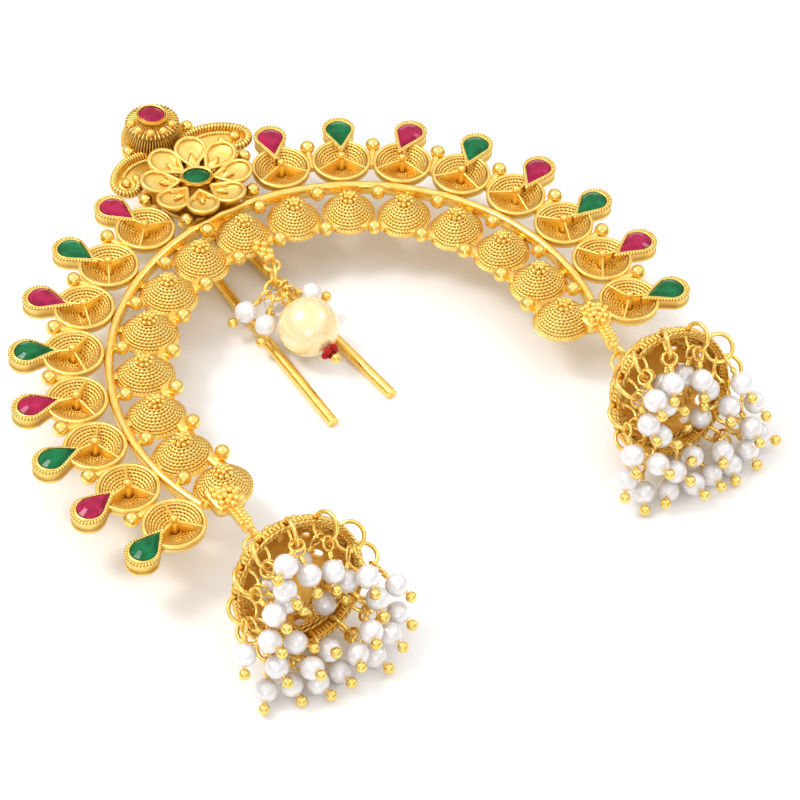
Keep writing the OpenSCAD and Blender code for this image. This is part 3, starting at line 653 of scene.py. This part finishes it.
def pear_setting():
    """The wall goes up the outside, over the lip and down to the seat."""
    shares = [1.1, 1.14, 1.14, 0.95, 0.95, 0.9, 0.6, 0.35, 0.15, 0.0, 0.0, -0.05]
    heights = [-1.1, -1.02, -0.8, -0.7, 0.3, 0.6, 0.8, 0.95, 0.97, 0.88, -0.04, -0.05]
    # The groove numbers darken the folds of the lip and the seat under the stone as painted shade.
    depth = [0, 0, 0, 0.6, 0, 0.5, 0.6, 0.1, 0, 0.3, 0.8, 0.9]
    shoulder = np.column_stack([pear(6.35, 3.98, 240), np.full(240, 0.66)])
    return gather(stacked(pear(6.7, 4.2, 96), shares, heights, depth, pear(5.1, 3.38, 96)),
                  rope(shoulder, 0.3, 1, 0.4, 10, closed=True, dent=0.3))


def both_sides(angles):
    """The same angles to the left and to the right of the flower."""
    return np.concatenate([-angles, angles])


left_turns = [2, -6, -4, 3, 6, 4, 8, 6]
right_turns = [-6, 2, -12, 4, 10, 6, 10, 8]
stone_angles = both_sides(cup_angles)
stone_turns, stone_places = on_ring(STONE_RING, stone_angles)
piece("settings", copies(pear_setting(), stone_turns @ about_z(left_turns + right_turns), stone_places),
      crease=75)

# %% [markdown]
# Round balls fill the places between: one between every two cups, and two between every two domes, one
# beside the rail and one at the inner edge. Short ties of wire or sheet hold the balls and the cups.

# %% Balls and ties
between_cups = both_sides(cup_angles[:-1] + 6.5)
between_domes = both_sides(DOME_STEP * (np.arange(7) + 0.5))
ball_rings = [(39.6, between_cups, 0.5, 1.03), (23.9, between_domes, 0.1, 1.03),
              (30.4, between_domes, 0.4, 0.98)]
piece("balls", gather(*[balls(on_ring(radius, angles, height)[1], size, 24, 14)
                        for radius, angles, height, size in ball_rings]), rubbed_gold)
tie = drawn([[0, -0.8, -0.15], [0, 0.8, 0.03], [0, 2.4, 0.2]], 0.5, 12, upright=(1, 0, 0))
feet = [(0.7, 1.3, -0.35, 0.35, 31.15, between_domes), (1.0, 1.2, -1.0, -0.2, 24.5, between_domes),
        (1.0, 1.1, -1.0, -0.2, 32.7, stone_angles)]
piece("ties", gather(ring_of(tie, CUP_RING, between_cups),
                     *[ring_of(slab(rounded(width, length), low, high), radius, angles)
                       for width, length, low, high, radius, angles in feet]))

# %% [markdown]
# The flower has eight petals of sheet. Each has a wire round its edge, a dished middle and three small leaf
# blades beside the stone. A petal is its own outline, stacked and drawn in step by step: up the outside,
# under the wire, and down into the dish.

# %% Flower
FLOWER = np.array([-0.4, 38.6, 0.0])
PETAL_START, PETAL_LENGTH, PETAL_HEIGHT, PETAL_RISE = 2.25, 5.15, 1.25, 0.16


def petal():
    """One petal, its tip at the setting: a wire loop, the dish inside it and three long leaf blades. It
    rises outwards: z grows by PETAL_RISE for each millimetre from the tip."""
    edge = pear(PETAL_LENGTH, 3.95, 96) + [0, PETAL_START + PETAL_LENGTH / 2]
    edge = np.column_stack([edge, PETAL_HEIGHT + PETAL_RISE * (edge[:, 1] - PETAL_START)])
    scale, down = np.array([[0.8, -0.75], [1.0, -0.65], [1.0, -0.05], [0.88, -0.2], [0.72, -0.34],
                            [0.5, -0.42], [0.22, -0.44]]).T[:, :, None, None]
    middle = np.array([0, 5.2, PETAL_HEIGHT + PETAL_RISE * (5.2 - PETAL_START)])
    # The dish is darker deep down and the blades at their foot, as painted shade.
    dish = skin(middle + (edge - middle) * scale + np.array([0, 0, 1.0]) * down,
                [0.3, 0.3, 0.7, 0.5, 0.1, 0.0, 0.0])
    turn = once_round(24)
    leaf = np.stack([0.6 * np.sin(turn) * (1 + 0.3 * np.cos(turn)), 1.5 - 1.5 * np.cos(turn)], -1)
    heights = np.array([-0.6, -0.2, 0.0, 0.14, 0.2])[:, None] + PETAL_RISE * leaf[:, 1]
    blade = stacked(leaf, [1.0, 0.97, 0.85, 0.55, 0.2], heights, [0.8, 0.7, 0.2, 0, 0])
    slim = scaled(blade, [0.6, 0.78, 1])
    return gather(drawn(edge, 0.3, 12, closed=True), dish, moved(blade, (0, 2.2, 1.1)),
                  moved(slim, (0.3, 2.3, 1.0), -24), moved(slim, (-0.3, 2.3, 1.0), 24))


def oval_setting(length, width, low, high, seat, wall):
    """An oval cup for a stone: wall up, over a thick rim, through a fine groove, over the thin lip that
    holds the stone, and down to the seat."""
    outer, inner = oval(length + 2 * wall, width + 2 * wall, 96), oval(length + 0.1, width + 0.1, 96)
    shares = [1.05, 1.0, 0.9, 1.1, 1.15, 1.0, 0.75, 0.55, 0.42, 0.3, 0.12, 0.0, 0.0, -0.1]
    above = np.array([-0.75, -0.5, -0.4, -0.22, -0.06, -0.08, -0.24, -0.1, 0.02, 0.0, -0.2])
    # The groove numbers darken the fine groove and the seat under the stone as painted shade.
    depth = [0, 0.2, 0.7, 0, 0, 0, 0.1, 0.8, 0.1, 0, 0, 0.6, 0.9, 0.9]
    return stacked(outer, shares, [low, *high + above, seat, seat], depth, inner)


petals = copies(petal(), about_z((np.arange(8) + 0.5) * 45))
# The base is darker under the petals, as painted shade.
flower_base = turned(96, ([5.9, 6.1, 6.1, 4.7, 4.6, 4.5, 2.0], [-1.1, -1.0, -0.2, -0.1, 0.2, 0.8, 0.85],
                          [0, 0, 0.3, 0.7, 0.8, 0.8, 0.8]))
flower_cup = moved(oval_setting(3.5, 2.8, 0.2, 2.0, 0.9, 0.45), turn=-30)
piece("flower", moved(gather(petals, flower_base, flower_cup), FLOWER), crease=70)

# %% [markdown]
# Two scrolls curl away from the flower. Each is a stout wire wound closely with a fine one, which gives it
# its ribs. It follows a wide arc and then a tight one at a tangent, and a thinner wire runs inside it with a
# dark groove between. The second scroll is the first one mirrored, and a little narrower.

# %% Scrolls
def arc_points(centre, radius, start, end, step=0.075):
    """Points on a circle at even steps, between two angles."""
    count = int(abs(math.radians(end - start)) * radius / step)
    return circle(radius, np.radians(np.linspace(start, end, count))) + [*centre, 0]


ARM_AT, ARM_RADIUS, JOINT_TURN, CURL_RADIUS = np.array([4.9, 41.2]), 6.9, 35, 1.9
curl_at = ARM_AT + circle(ARM_RADIUS - CURL_RADIUS, np.radians(JOINT_TURN))[:2]
scroll_path = np.vstack([arc_points(ARM_AT, ARM_RADIUS, 106, JOINT_TURN),
                         arc_points(curl_at, CURL_RADIUS, JOINT_TURN, -185)[1:]])
inner_path = arc_points(ARM_AT, ARM_RADIUS - 1.25, 108, JOINT_TURN + 10) + [0, 0, -0.15]
web_edge = [arc_points(ARM_AT, ARM_RADIUS, 106, JOINT_TURN, 0.5)[:, :2],
            arc_points(curl_at, CURL_RADIUS, JOINT_TURN, -100, 0.5)[:, :2], [[8.6, 42.1], [6, 41], [3, 41]]]
scroll = gather(rope(scroll_path, 0.62, 1, 0.46, 14, dent=0.26),
                rope(inner_path, 0.36, 1, 0.4, 10, dent=0.26), slab(np.vstack(web_edge), -1.0, -0.15),
                balls(scroll_path[-1], 0.68, 18, 12), balls([*curl_at, 0.1], 0.8, 18, 12))
piece("scrolls", gather(scroll, moved(scaled(scroll, [-0.87, 1, 1]), (-0.39, 0, 0))), crease=80)

# %% [markdown]
# The finial is a dome with fine upright ribs, a collar, five beads and an oval stone. The ribs are a wave
# of the radius, half as deep at the foot as higher up. Under the flower and the finial runs a keel.

# %% Finial
FINIAL = np.array([-0.2, 50.4, 0.0])
FINIAL_COLUMNS, RIBS, FOLDS = 304, 60, 38


def finial():
    """Dome: radius = R sin v, with grooves of (1 - cos(60 t)) / 2. Collar: a sloping brim whose height and
    edge fall in 38 folds; its rows are radius, height, share of the folds and darkness. Five beads stand
    on the collar on the side to the flower."""
    t = once_round(FINIAL_COLUMNS)
    groove, fall = 0.5 - 0.5 * np.cos(RIBS * t), 0.5 - 0.5 * np.cos(FOLDS * t)
    v = np.radians(np.linspace(92, 44, 12))[:, None]
    shell = 4.45 - 0.24 * groove * np.clip(np.linspace(0.5, 1.6, 12), 0, 1)[:, None]
    body = turned(FINIAL_COLUMNS, ([3.9, 4.3, 4.42], [-1.1, -1.08, -0.98], 0),
                  (shell * np.sin(v), -0.8 + shell * np.cos(v), groove[None]))
    # The ribs' grooves and the collar's darkness are painted shade, deepest in the folds and where the collar
    # meets the dome.
    r, z, share, dark = np.array([
        [2.9, 2.2, 0, 0.6], [3.45, 2.3, 0.3, 0.4], [3.72, 2.52, 1, 0.2], [3.7, 2.75, 1, 0],
        [3.4, 2.95, 1, 0], [2.8, 3.08, 1, 0], [2.2, 3.15, 0.8, 0.2], [1.6, 3.2, 0.2, 0.6]]).T[:, :, None]
    brim = turned(FINIAL_COLUMNS, (r - 0.13 * share * fall * (r > 3.3), z - 0.17 * share * fall,
                                   np.clip(dark + 0.9 * share * fall, 0, 1)))
    front = np.radians(165 + 35 * np.arange(5))
    return gather(body, brim, balls(circle(2.95, front, 3.15), 0.62, 16, 10),
                  moved(oval_setting(3.5, 3.0, 3.0, 4.15, 3.15, 0.4), turn=-66))


piece("finial", moved(finial(), FINIAL), crease=70)
keel = moved(slab(rounded(6, 16, 40, 8.0), -1.1, -0.25), (0, 39.8, 0))
pads = [moved(slab(oval(2 * r, 2 * r, 40), -1.1, -0.2), (s * x, y, 0))
        for x, y, r in ((6.8, 39.6, 1.4), (4.9, 34.0, 1.2)) for s in (-1, 1)]
flower_balls = balls([[-4.85, 49.1, 0.35], [4.45, 49.1, 0.35], [7.8, 39.8, 0.3], [-7.8, 39.8, 0.3],
                      [5.2, 33.5, 0.3], [-5.2, 33.5, 0.3]], 0.98, 24, 14)
piece("keel", gather(keel, *pads))
piece("flower_balls", flower_balls, rubbed_gold)

# %% [markdown]
# At the back a short tube on a saddle takes the bar of the two-legged hair pin. The tube is a closed
# profile spun round: outside wall, rounded lip, bore.

# %% Barrel
BARREL = np.array([-0.9, 31.5, -2.5])
barrel_r = [1.22, 1.3, 1.3, 1.22, 0.92, 0.87, 0.87, 0.92]
barrel_z = [-1.6, -1.52, 1.52, 1.6, 1.6, 1.54, -1.54, -1.6]
tube = swapped(turned(40, (barrel_r, barrel_z, 0), ring=True), [2, 1, 0])
piece("pin_barrel", moved(gather(tube, slab(rounded(3.2, 1.8, 32, 8.0), 1.0, 1.7)), BARREL))

# %% [markdown]
# Each end of the crescent closes with a heap of granules on a small block, a stalk and an eye for the bell.
# Three rows of smaller granules run down the stalk and stop short of the eye, so that the ring can swing.
# Under the middle dome hangs a smaller heap with a flat eye.

# %% End heaps and eyes
END_EYES = np.array([[-26.8, -17.1, -1.4], [29.1, -17.1, -1.4]])
MIDDLE_EYE = np.array([0.1, 20.7, -0.7])
EYE_TURN, EYE_WIRE = 0.95, 0.3
FLAT, ON_EDGE = np.eye(3), [[0, 0, 1], [0, 1, 0], [-1, 0, 0]]
HEAPED, GOLDEN_ANGLE = 18, 137.508


def eye_at(centre, turn):
    """A closed round wire to hang something from, flat or on edge."""
    return copies(drawn(circle(EYE_TURN, once_round(32)), EYE_WIRE, 10, closed=True), [turn], centre)


def heap():
    """Granules scattered evenly over a rounded mound: places on a sunflower spiral, higher in the middle."""
    k = np.arange(HEAPED) + 0.5
    share, turn = np.sqrt(k / HEAPED), k * math.radians(GOLDEN_ANGLE) + 0.4
    return balls(circle(share, turn, 0.75 + 0.35 * (1 - share ** 2)) * [1.75, 1.9, 1], 0.5, 12, 8)


def crescent_end(eye):
    """The block with its heap, and the stalk from it to the eye with its three rows of granules."""
    block_at = np.array([eye[0] + 0.35 * np.sign(eye[0]), -11.4, 0])
    stalk_from, stalk_to = block_at + [0, -1, -0.3], eye + [0, 1.15, 0]
    stalk = drawn(np.linspace(stalk_from, stalk_to, 8), [0.7, 0.9, 0.8, 0.8, 0.8, 0.8, 0.85, 0.7], 20)
    crust_at = stalk_from + (stalk_to - stalk_from) * np.linspace(0.06, 0.76, 6)[:, None]
    crust = [balls(crust_at + row, size, 12, 8)
             for row, size in (([-0.55, 0, 0.5], 0.4), ([0.55, 0, 0.5], 0.4), ([0, -0.35, 0.72], 0.42))]
    block = moved(slab(rounded(4.3, 4.3, 40, 5.0), -1.1, 0.7, 0.25), block_at + [0, 0.7, 0])
    return gather(block, stalk, *crust, moved(heap(), block_at + [0, 0.4, 0]), eye_at(eye, ON_EDGE))


middle_block = moved(slab(rounded(1.8, 3.3, 32, 5.0), -0.9, 0.3, 0.15), MIDDLE_EYE * [1, 1, 0] + [0, 2.5, 0])
middle_places = [(-0.6, 1.5), (0.6, 1.5), (0, 2.2), (-0.7, 3), (0.7, 3), (0, 3.7), (-0.25, 0.95),
                 (0.35, 0.9)]
middle_heap = balls([[MIDDLE_EYE[0] + x, MIDDLE_EYE[1] + y, 0.35 if y > 1 else 0] for x, y in middle_places],
                    0.56, 12, 8)
piece("end_heaps", gather(*[crescent_end(eye) for eye in END_EYES]), crease=70)
piece("middle_heap", gather(middle_block, middle_heap, eye_at(MIDDLE_EYE, FLAT)), crease=70)

# %% [markdown]
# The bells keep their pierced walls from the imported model, and get the goldsmith's dressing on top: ropes
# round the rim and the shoulder, rows of granules, and studs between the holes. The dressing is built
# upright round the bell's own axis and then tipped over with it.

# %% Bells
BELL_AT = np.array([[-27.5, -28.5, 1.05], [28.8, -28.4, 1.05]])
BELL_RISE, BELL_TURN = 20, (-4, -3)
RIM_HOLES = 14
hole_turns = (np.arange(RIM_HOLES) + 0.5) * 2 * np.pi / RIM_HOLES


def bell_frame(side):
    """A bell's own frame: mouth at the origin, crown along -Z, tipped forward and turned a little."""
    tip = math.radians(90 - BELL_RISE)
    tipped = np.array([[1, 0, 0], [0, math.cos(tip), -math.sin(tip)], [0, math.sin(tip), math.cos(tip)]])
    return about_z([BELL_TURN[side]])[0] @ tipped, BELL_AT[side]


def bell_wall(height, out):
    """Radius at a height, some way out from the bell's wall: a quarter of an ellipse, 8.05 wide, 7 deep."""
    return 8.05 * math.sqrt(1 - (height / 7.0) ** 2) + out


def bell_dressing():
    """Ropes and rows of granules on the outside, and ropes between the rows of holes on the inside. The
    granules beside the rim holes stand in fourteen groups, so that the holes stay open for the rings."""
    ropes = [(8.32, 0.02, 330, 0.21, 0.8), (8.5, -1.12, 330, 0.24, 0.8)]
    ropes += [(bell_wall(z, out), z, points, wire, 1.0) for out, z, points, wire in (
        (0.12, -1.5, 300, 0.3), (0.12, -3.95, 260, 0.28), (0.12, -6.1, 140, 0.24), (-0.72, -1.25, 240, 0.24),
        (-0.72, -1.8, 240, 0.24), (-0.72, -4.05, 200, 0.26), (-0.72, -6.0, 90, 0.24))]
    parts = [rope(circle(r, once_round(points), z), wire, 2, pitch, 10, closed=True)
             for r, z, points, wire, pitch in ropes]
    group = (hole_turns[:, None] + np.pi / RIM_HOLES + np.linspace(-0.155, 0.155, 6)).ravel()
    parts += [balls(circle(r, group, z), size, 8, 6) for r, z, size in (
        (8.5, -0.38, 0.25), (8.5, -0.78, 0.25), (7.72, -0.35, 0.22), (7.72, -0.75, 0.22))]
    parts += [granules(bell_wall(z, out), z, size, count) for out, z, size, count in (
        (0.1, -1.98, 0.27, 92), (0.1, -4.42, 0.26, 78), (0.1, -5.75, 0.25, 54), (0.1, -6.5, 0.27, 28),
        (-0.7, -2.2, 0.25, 84), (-0.7, -3.75, 0.25, 76))]
    parts += [balls(circle(bell_wall(z, out), once_round(RIM_HOLES) + aside, z), size, 10, 7)
              for z, aside, size, out in (
                  (-2.45, 0, 0.5, 0.2), (-2.3, 0.075, 0.34, 0.1), (-2.3, -0.075, 0.34, 0.1),
                  (-2.95, 0.055, 0.34, 0.08), (-2.95, -0.055, 0.34, 0.08), (-3.45, 0, 0.36, 0.08))]
    return gather(*parts)


one_dressing = bell_dressing()
for side, name in enumerate(("left", "right")):
    turn, move = bell_frame(side)
    piece(f"{name}_bell_dressing", copies(one_dressing, [turn], move), replaces=(), crease=80)

# %% [markdown]
# Fourteen rings hang from each bell's rim, and two pearls from each ring, on looped head pins. A head pin is
# a wire with a ball at one end: it goes through the pearl, bends into an eye round the ring, and is wound
# back round its own stem. Each row below is one ring, in degrees: its lean to the side, then for both pins
# the turn round the ring and the lift out of the ring's plane. A search program found these angles: it
# brought the pearls near their places in the photograph and kept them clear of each other.

# %% Head pins and pearls
HANG = np.array([
    [[-40, -16, -9, 18, -21], [-41, -60, -15, -29, 6], [-21, -109, 13, -60, 0], [8, -57, -5, -20, 44],
     [35, -82, 39, -38, -24], [35, -65, -13, -30, -14], [46, -16, -27, 12, 16], [24, -38, 12, 2, 22],
     [21, 25, 24, 54, -3], [0, -3, 0, 25, 31], [-5, 22, 15, -19, 3], [6, 4, -28, 36, -3],
     [-5, -5, -13, 32, -12], [-45, -80, -35, 36, -1]],
    [[-55, -40, 26, 4, 3], [-44, -69, 4, -22, -4], [-12, -97, -6, -63, -2], [20, -81, 17, -42, 10],
     [36, -78, 37, -27, -8], [28, -59, -21, -28, 15], [36, -42, -4, 7, 16], [33, -2, -16, 43, 15],
     [3, -2, 35, 55, 21], [20, 17, -8, 45, -46], [13, -23, -45, 21, -12], [17, 34, -45, -9, -49],
     [-16, 34, -20, 62, 9], [-35, -69, -19, 6, -2]],
], float)
RIM_RING_RADIUS = np.full(RIM_HOLES, 1.8)
RIM_RING_RADIUS[10] = 1.4
MIDDLE_RING_RADIUS, EYE_SLACK, EYE_RADIUS, PIN_WIRE, STEM = 1.45, 0.25, 0.89, 0.19, 1.0
PEARL, BORE, END_BALL = 1.5, 0.35, 0.72


def head_pin(stem, bead, rounds, below):
    """A pin along +Z with its hook at the origin: eye in the X-Z plane, windings round the stem, shank
    through the bead and a ball at the end."""
    eye_path = circle(EYE_RADIUS, once_round(28))[:, [0, 2, 1]] + [0, 0, EYE_SLACK]
    eye = drawn(eye_path, PIN_WIRE, 8, closed=True, upright=(0, 1.0, 0))
    start = EYE_SLACK + EYE_RADIUS
    wound = np.linspace(0, 1, 14 * rounds)
    coil = circle(0.27, wound * rounds * 2 * np.pi, start + 0.18 + (stem - 0.32) * wound)
    tail = start + stem + 2 * bead + below + END_BALL
    return gather(eye, drawn(coil, 0.16, 6), turned(8, ([0.17, 0.17], [start, tail], 0)),
                  moved(ball(END_BALL, 18, 11), (0, 0, tail)))


def pearl(radius, columns, rows):
    """A drilled pearl along +Z: a ball whose poles are drawn in to the mouth of the drill hole, and whose
    radius swells and dips a little round it."""
    start = math.asin(BORE / radius)
    v = np.linspace(start, math.pi - start, rows)[:, None]
    swell = radius * (1 - 0.012 - 0.012 * np.sin(2 * once_round(columns) + 3 * v) * np.sin(v) ** 2)
    return turned(columns, (swell * np.sin(v), swell * np.cos(v), 0))


def hung_frames(centre, fore, side, turns, lifts, radius):
    """Where pins hang on a ring: hook = centre + r (cos turn fore + sin turn side), way = the same
    direction lifted out of the ring's plane, and each pin's turn matrix, its eye square to the ring.
    The radius r may hold one value per pin."""
    turns, lifts = np.radians(turns)[:, None], np.radians(lifts)[:, None]
    out = np.cos(turns) * fore + np.sin(turns) * side
    way = np.cos(lifts) * out + np.sin(lifts) * np.cross(fore, side)
    axis = np.cos(turns) * side - np.sin(turns) * fore
    return np.stack([np.cross(axis, way), axis, way], -1), centre + np.reshape(radius, (-1, 1)) * out


def bell_pins(side):
    """Turns and moves of a bell's 28 pins, in the crescent's frame."""
    frame_turn, frame_move = bell_frame(side)
    rows, t = HANG[side], hole_turns
    lean = np.radians(rows[:, 0])
    fore = np.stack([-np.sin(t) * np.sin(lean), np.cos(t) * np.sin(lean), np.cos(lean)], -1)
    centre = circle(8.1, t, -0.6) + RIM_RING_RADIUS[:, None] * fore
    turns, hooks = zip(*[hung_frames(centre, fore, circle(1.0, t), rows[:, first], rows[:, first + 1],
                                     RIM_RING_RADIUS) for first in (1, 3)])
    return frame_turn @ np.concatenate(turns), np.concatenate(hooks) @ frame_turn.T + frame_move


small_pin, small_pearl = head_pin(STEM, PEARL, 3, 0.08), pearl(PEARL, 26, 16)
pearl_place = np.array([0, 0, EYE_SLACK + EYE_RADIUS + STEM + PEARL])


def small_drops(name, node, turns, moves, *more_pins):
    """Small pearls on their head pins: one piece of wire and one of pearls."""
    piece(f"{name}_head_pins", gather(copies(small_pin, turns, moves), *more_pins), rubbed_gold,
          [f"{node}_pins"])
    piece(f"{name}_drilled_pearls", copies(small_pearl, turns, moves + turns @ pearl_place), white_pearl,
          [f"{node}_pearls"])


for side, name in enumerate(("left", "right")):
    small_drops(name, name, *bell_pins(side))

# %% [markdown]
# Under the middle hangs one large pearl with four small ones, all on one ring. The large pearl's pin also
# carries a ring of small red beads. The same pin and pearl serve again, at another size, and the angles of
# the small ones were found by a search too.

# %% Middle drop
CENTRE = np.array([-1.53, 17.33, -1.53])
BIG_PEARL, BIG_STEM = 4.05, 0.3
centre_fore = unit(CENTRE - MIDDLE_EYE)
centre_up = unit(np.cross(centre_fore, [1, 0, 0]))
centre_side = np.cross(centre_up, centre_fore)
small_rows = np.array([[-65, -36], [-21, -27], [90, -21], [129, -105]], float)
turns, moves = hung_frames(CENTRE, centre_fore, centre_side, *small_rows.T, MIDDLE_RING_RADIUS)
big_turn, big_hook = hung_frames(CENTRE, centre_fore, centre_side, [31.0], [0.0], MIDDLE_RING_RADIUS)
big_pin = head_pin(BIG_STEM, BIG_PEARL, 1, 1.0)
small_drops("middle", "centre", turns, moves, copies(big_pin, big_turn, big_hook))
big_start = EYE_SLACK + EYE_RADIUS + BIG_STEM
big_place = big_hook + big_turn @ np.array([0, 0, big_start + BIG_PEARL])
piece("large_pearl", copies(pearl(BIG_PEARL, 72, 48), big_turn, big_place), cream_pearl, ["big_pearl"])
bead_place = big_hook + big_turn @ np.array([0, 0, big_start + 2 * BIG_PEARL + 0.55])
bead_ring = balls(circle(0.85, once_round(5)), 0.5, 20, 12)
piece("red_seed_beads", copies(bead_ring, big_turn, bead_place), red_glass, ["red_beads"])

# %% [markdown]
# The cut stones, the rings, the links, the bells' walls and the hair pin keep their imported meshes, whose
# shapes are right. They only get their finishes.

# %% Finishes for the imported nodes
FINISHES = dict.fromkeys(["hair_pin", "centre_bail", "centre_ring", "left_link", "right_link",
                          "left_rim_rings", "right_rim_rings"], rubbed_gold)
# The bells' walls take the darker copy of the gold, painted shade of their insides.
FINISHES |= {"left_bell": shaded_gold, "right_bell": shaded_gold}
FINISHES |= {"flower_stone": emerald, "finial_stone": ruby}
FINISHES |= {f"stone_{side}{k + 1}": (ruby, emerald)[k % 2] for k in range(8) for side in "lr"}
for node, finish in FINISHES.items():
    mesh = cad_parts[node].data
    mesh.materials.clear()
    mesh.materials.append(finish)
print("finished nodes:", len(FINISHES))

# %% [markdown]
# The table is a wide, flat, pale sheet just under the piece. It isn't part of the object.

# %% Table
HALF_TABLE, TABLE_HEIGHT = 2.0, -0.00002
corners = [(x * HALF_TABLE, y * HALF_TABLE, TABLE_HEIGHT) for x, y in ((-1, -1), (1, -1), (1, 1), (-1, 1))]
table_mesh = bpy.data.meshes.new("table")
table_mesh.from_pydata(corners, (), [(0, 1, 2, 3)])
paper = Graph(bpy.data.materials.new("paper"))
grain = paper.noise(300.0, 4.0)
table_mesh.materials.append(paper.finish(
    Base_Color=paper.mix(grain, (0.95, 0.95, 0.95, 1.0), (0.93, 0.93, 0.93, 1.0)), Roughness=0.75,
    Normal=paper.bump(grain, 0.05, 0.0001)))
table = bpy.data.objects.new("table", table_mesh)
bpy.context.collection.objects.link(table)

# %% [markdown]
# Last, the number of triangles made is printed.

# %% Triangles made
print("triangles made:", sum(made_triangles))
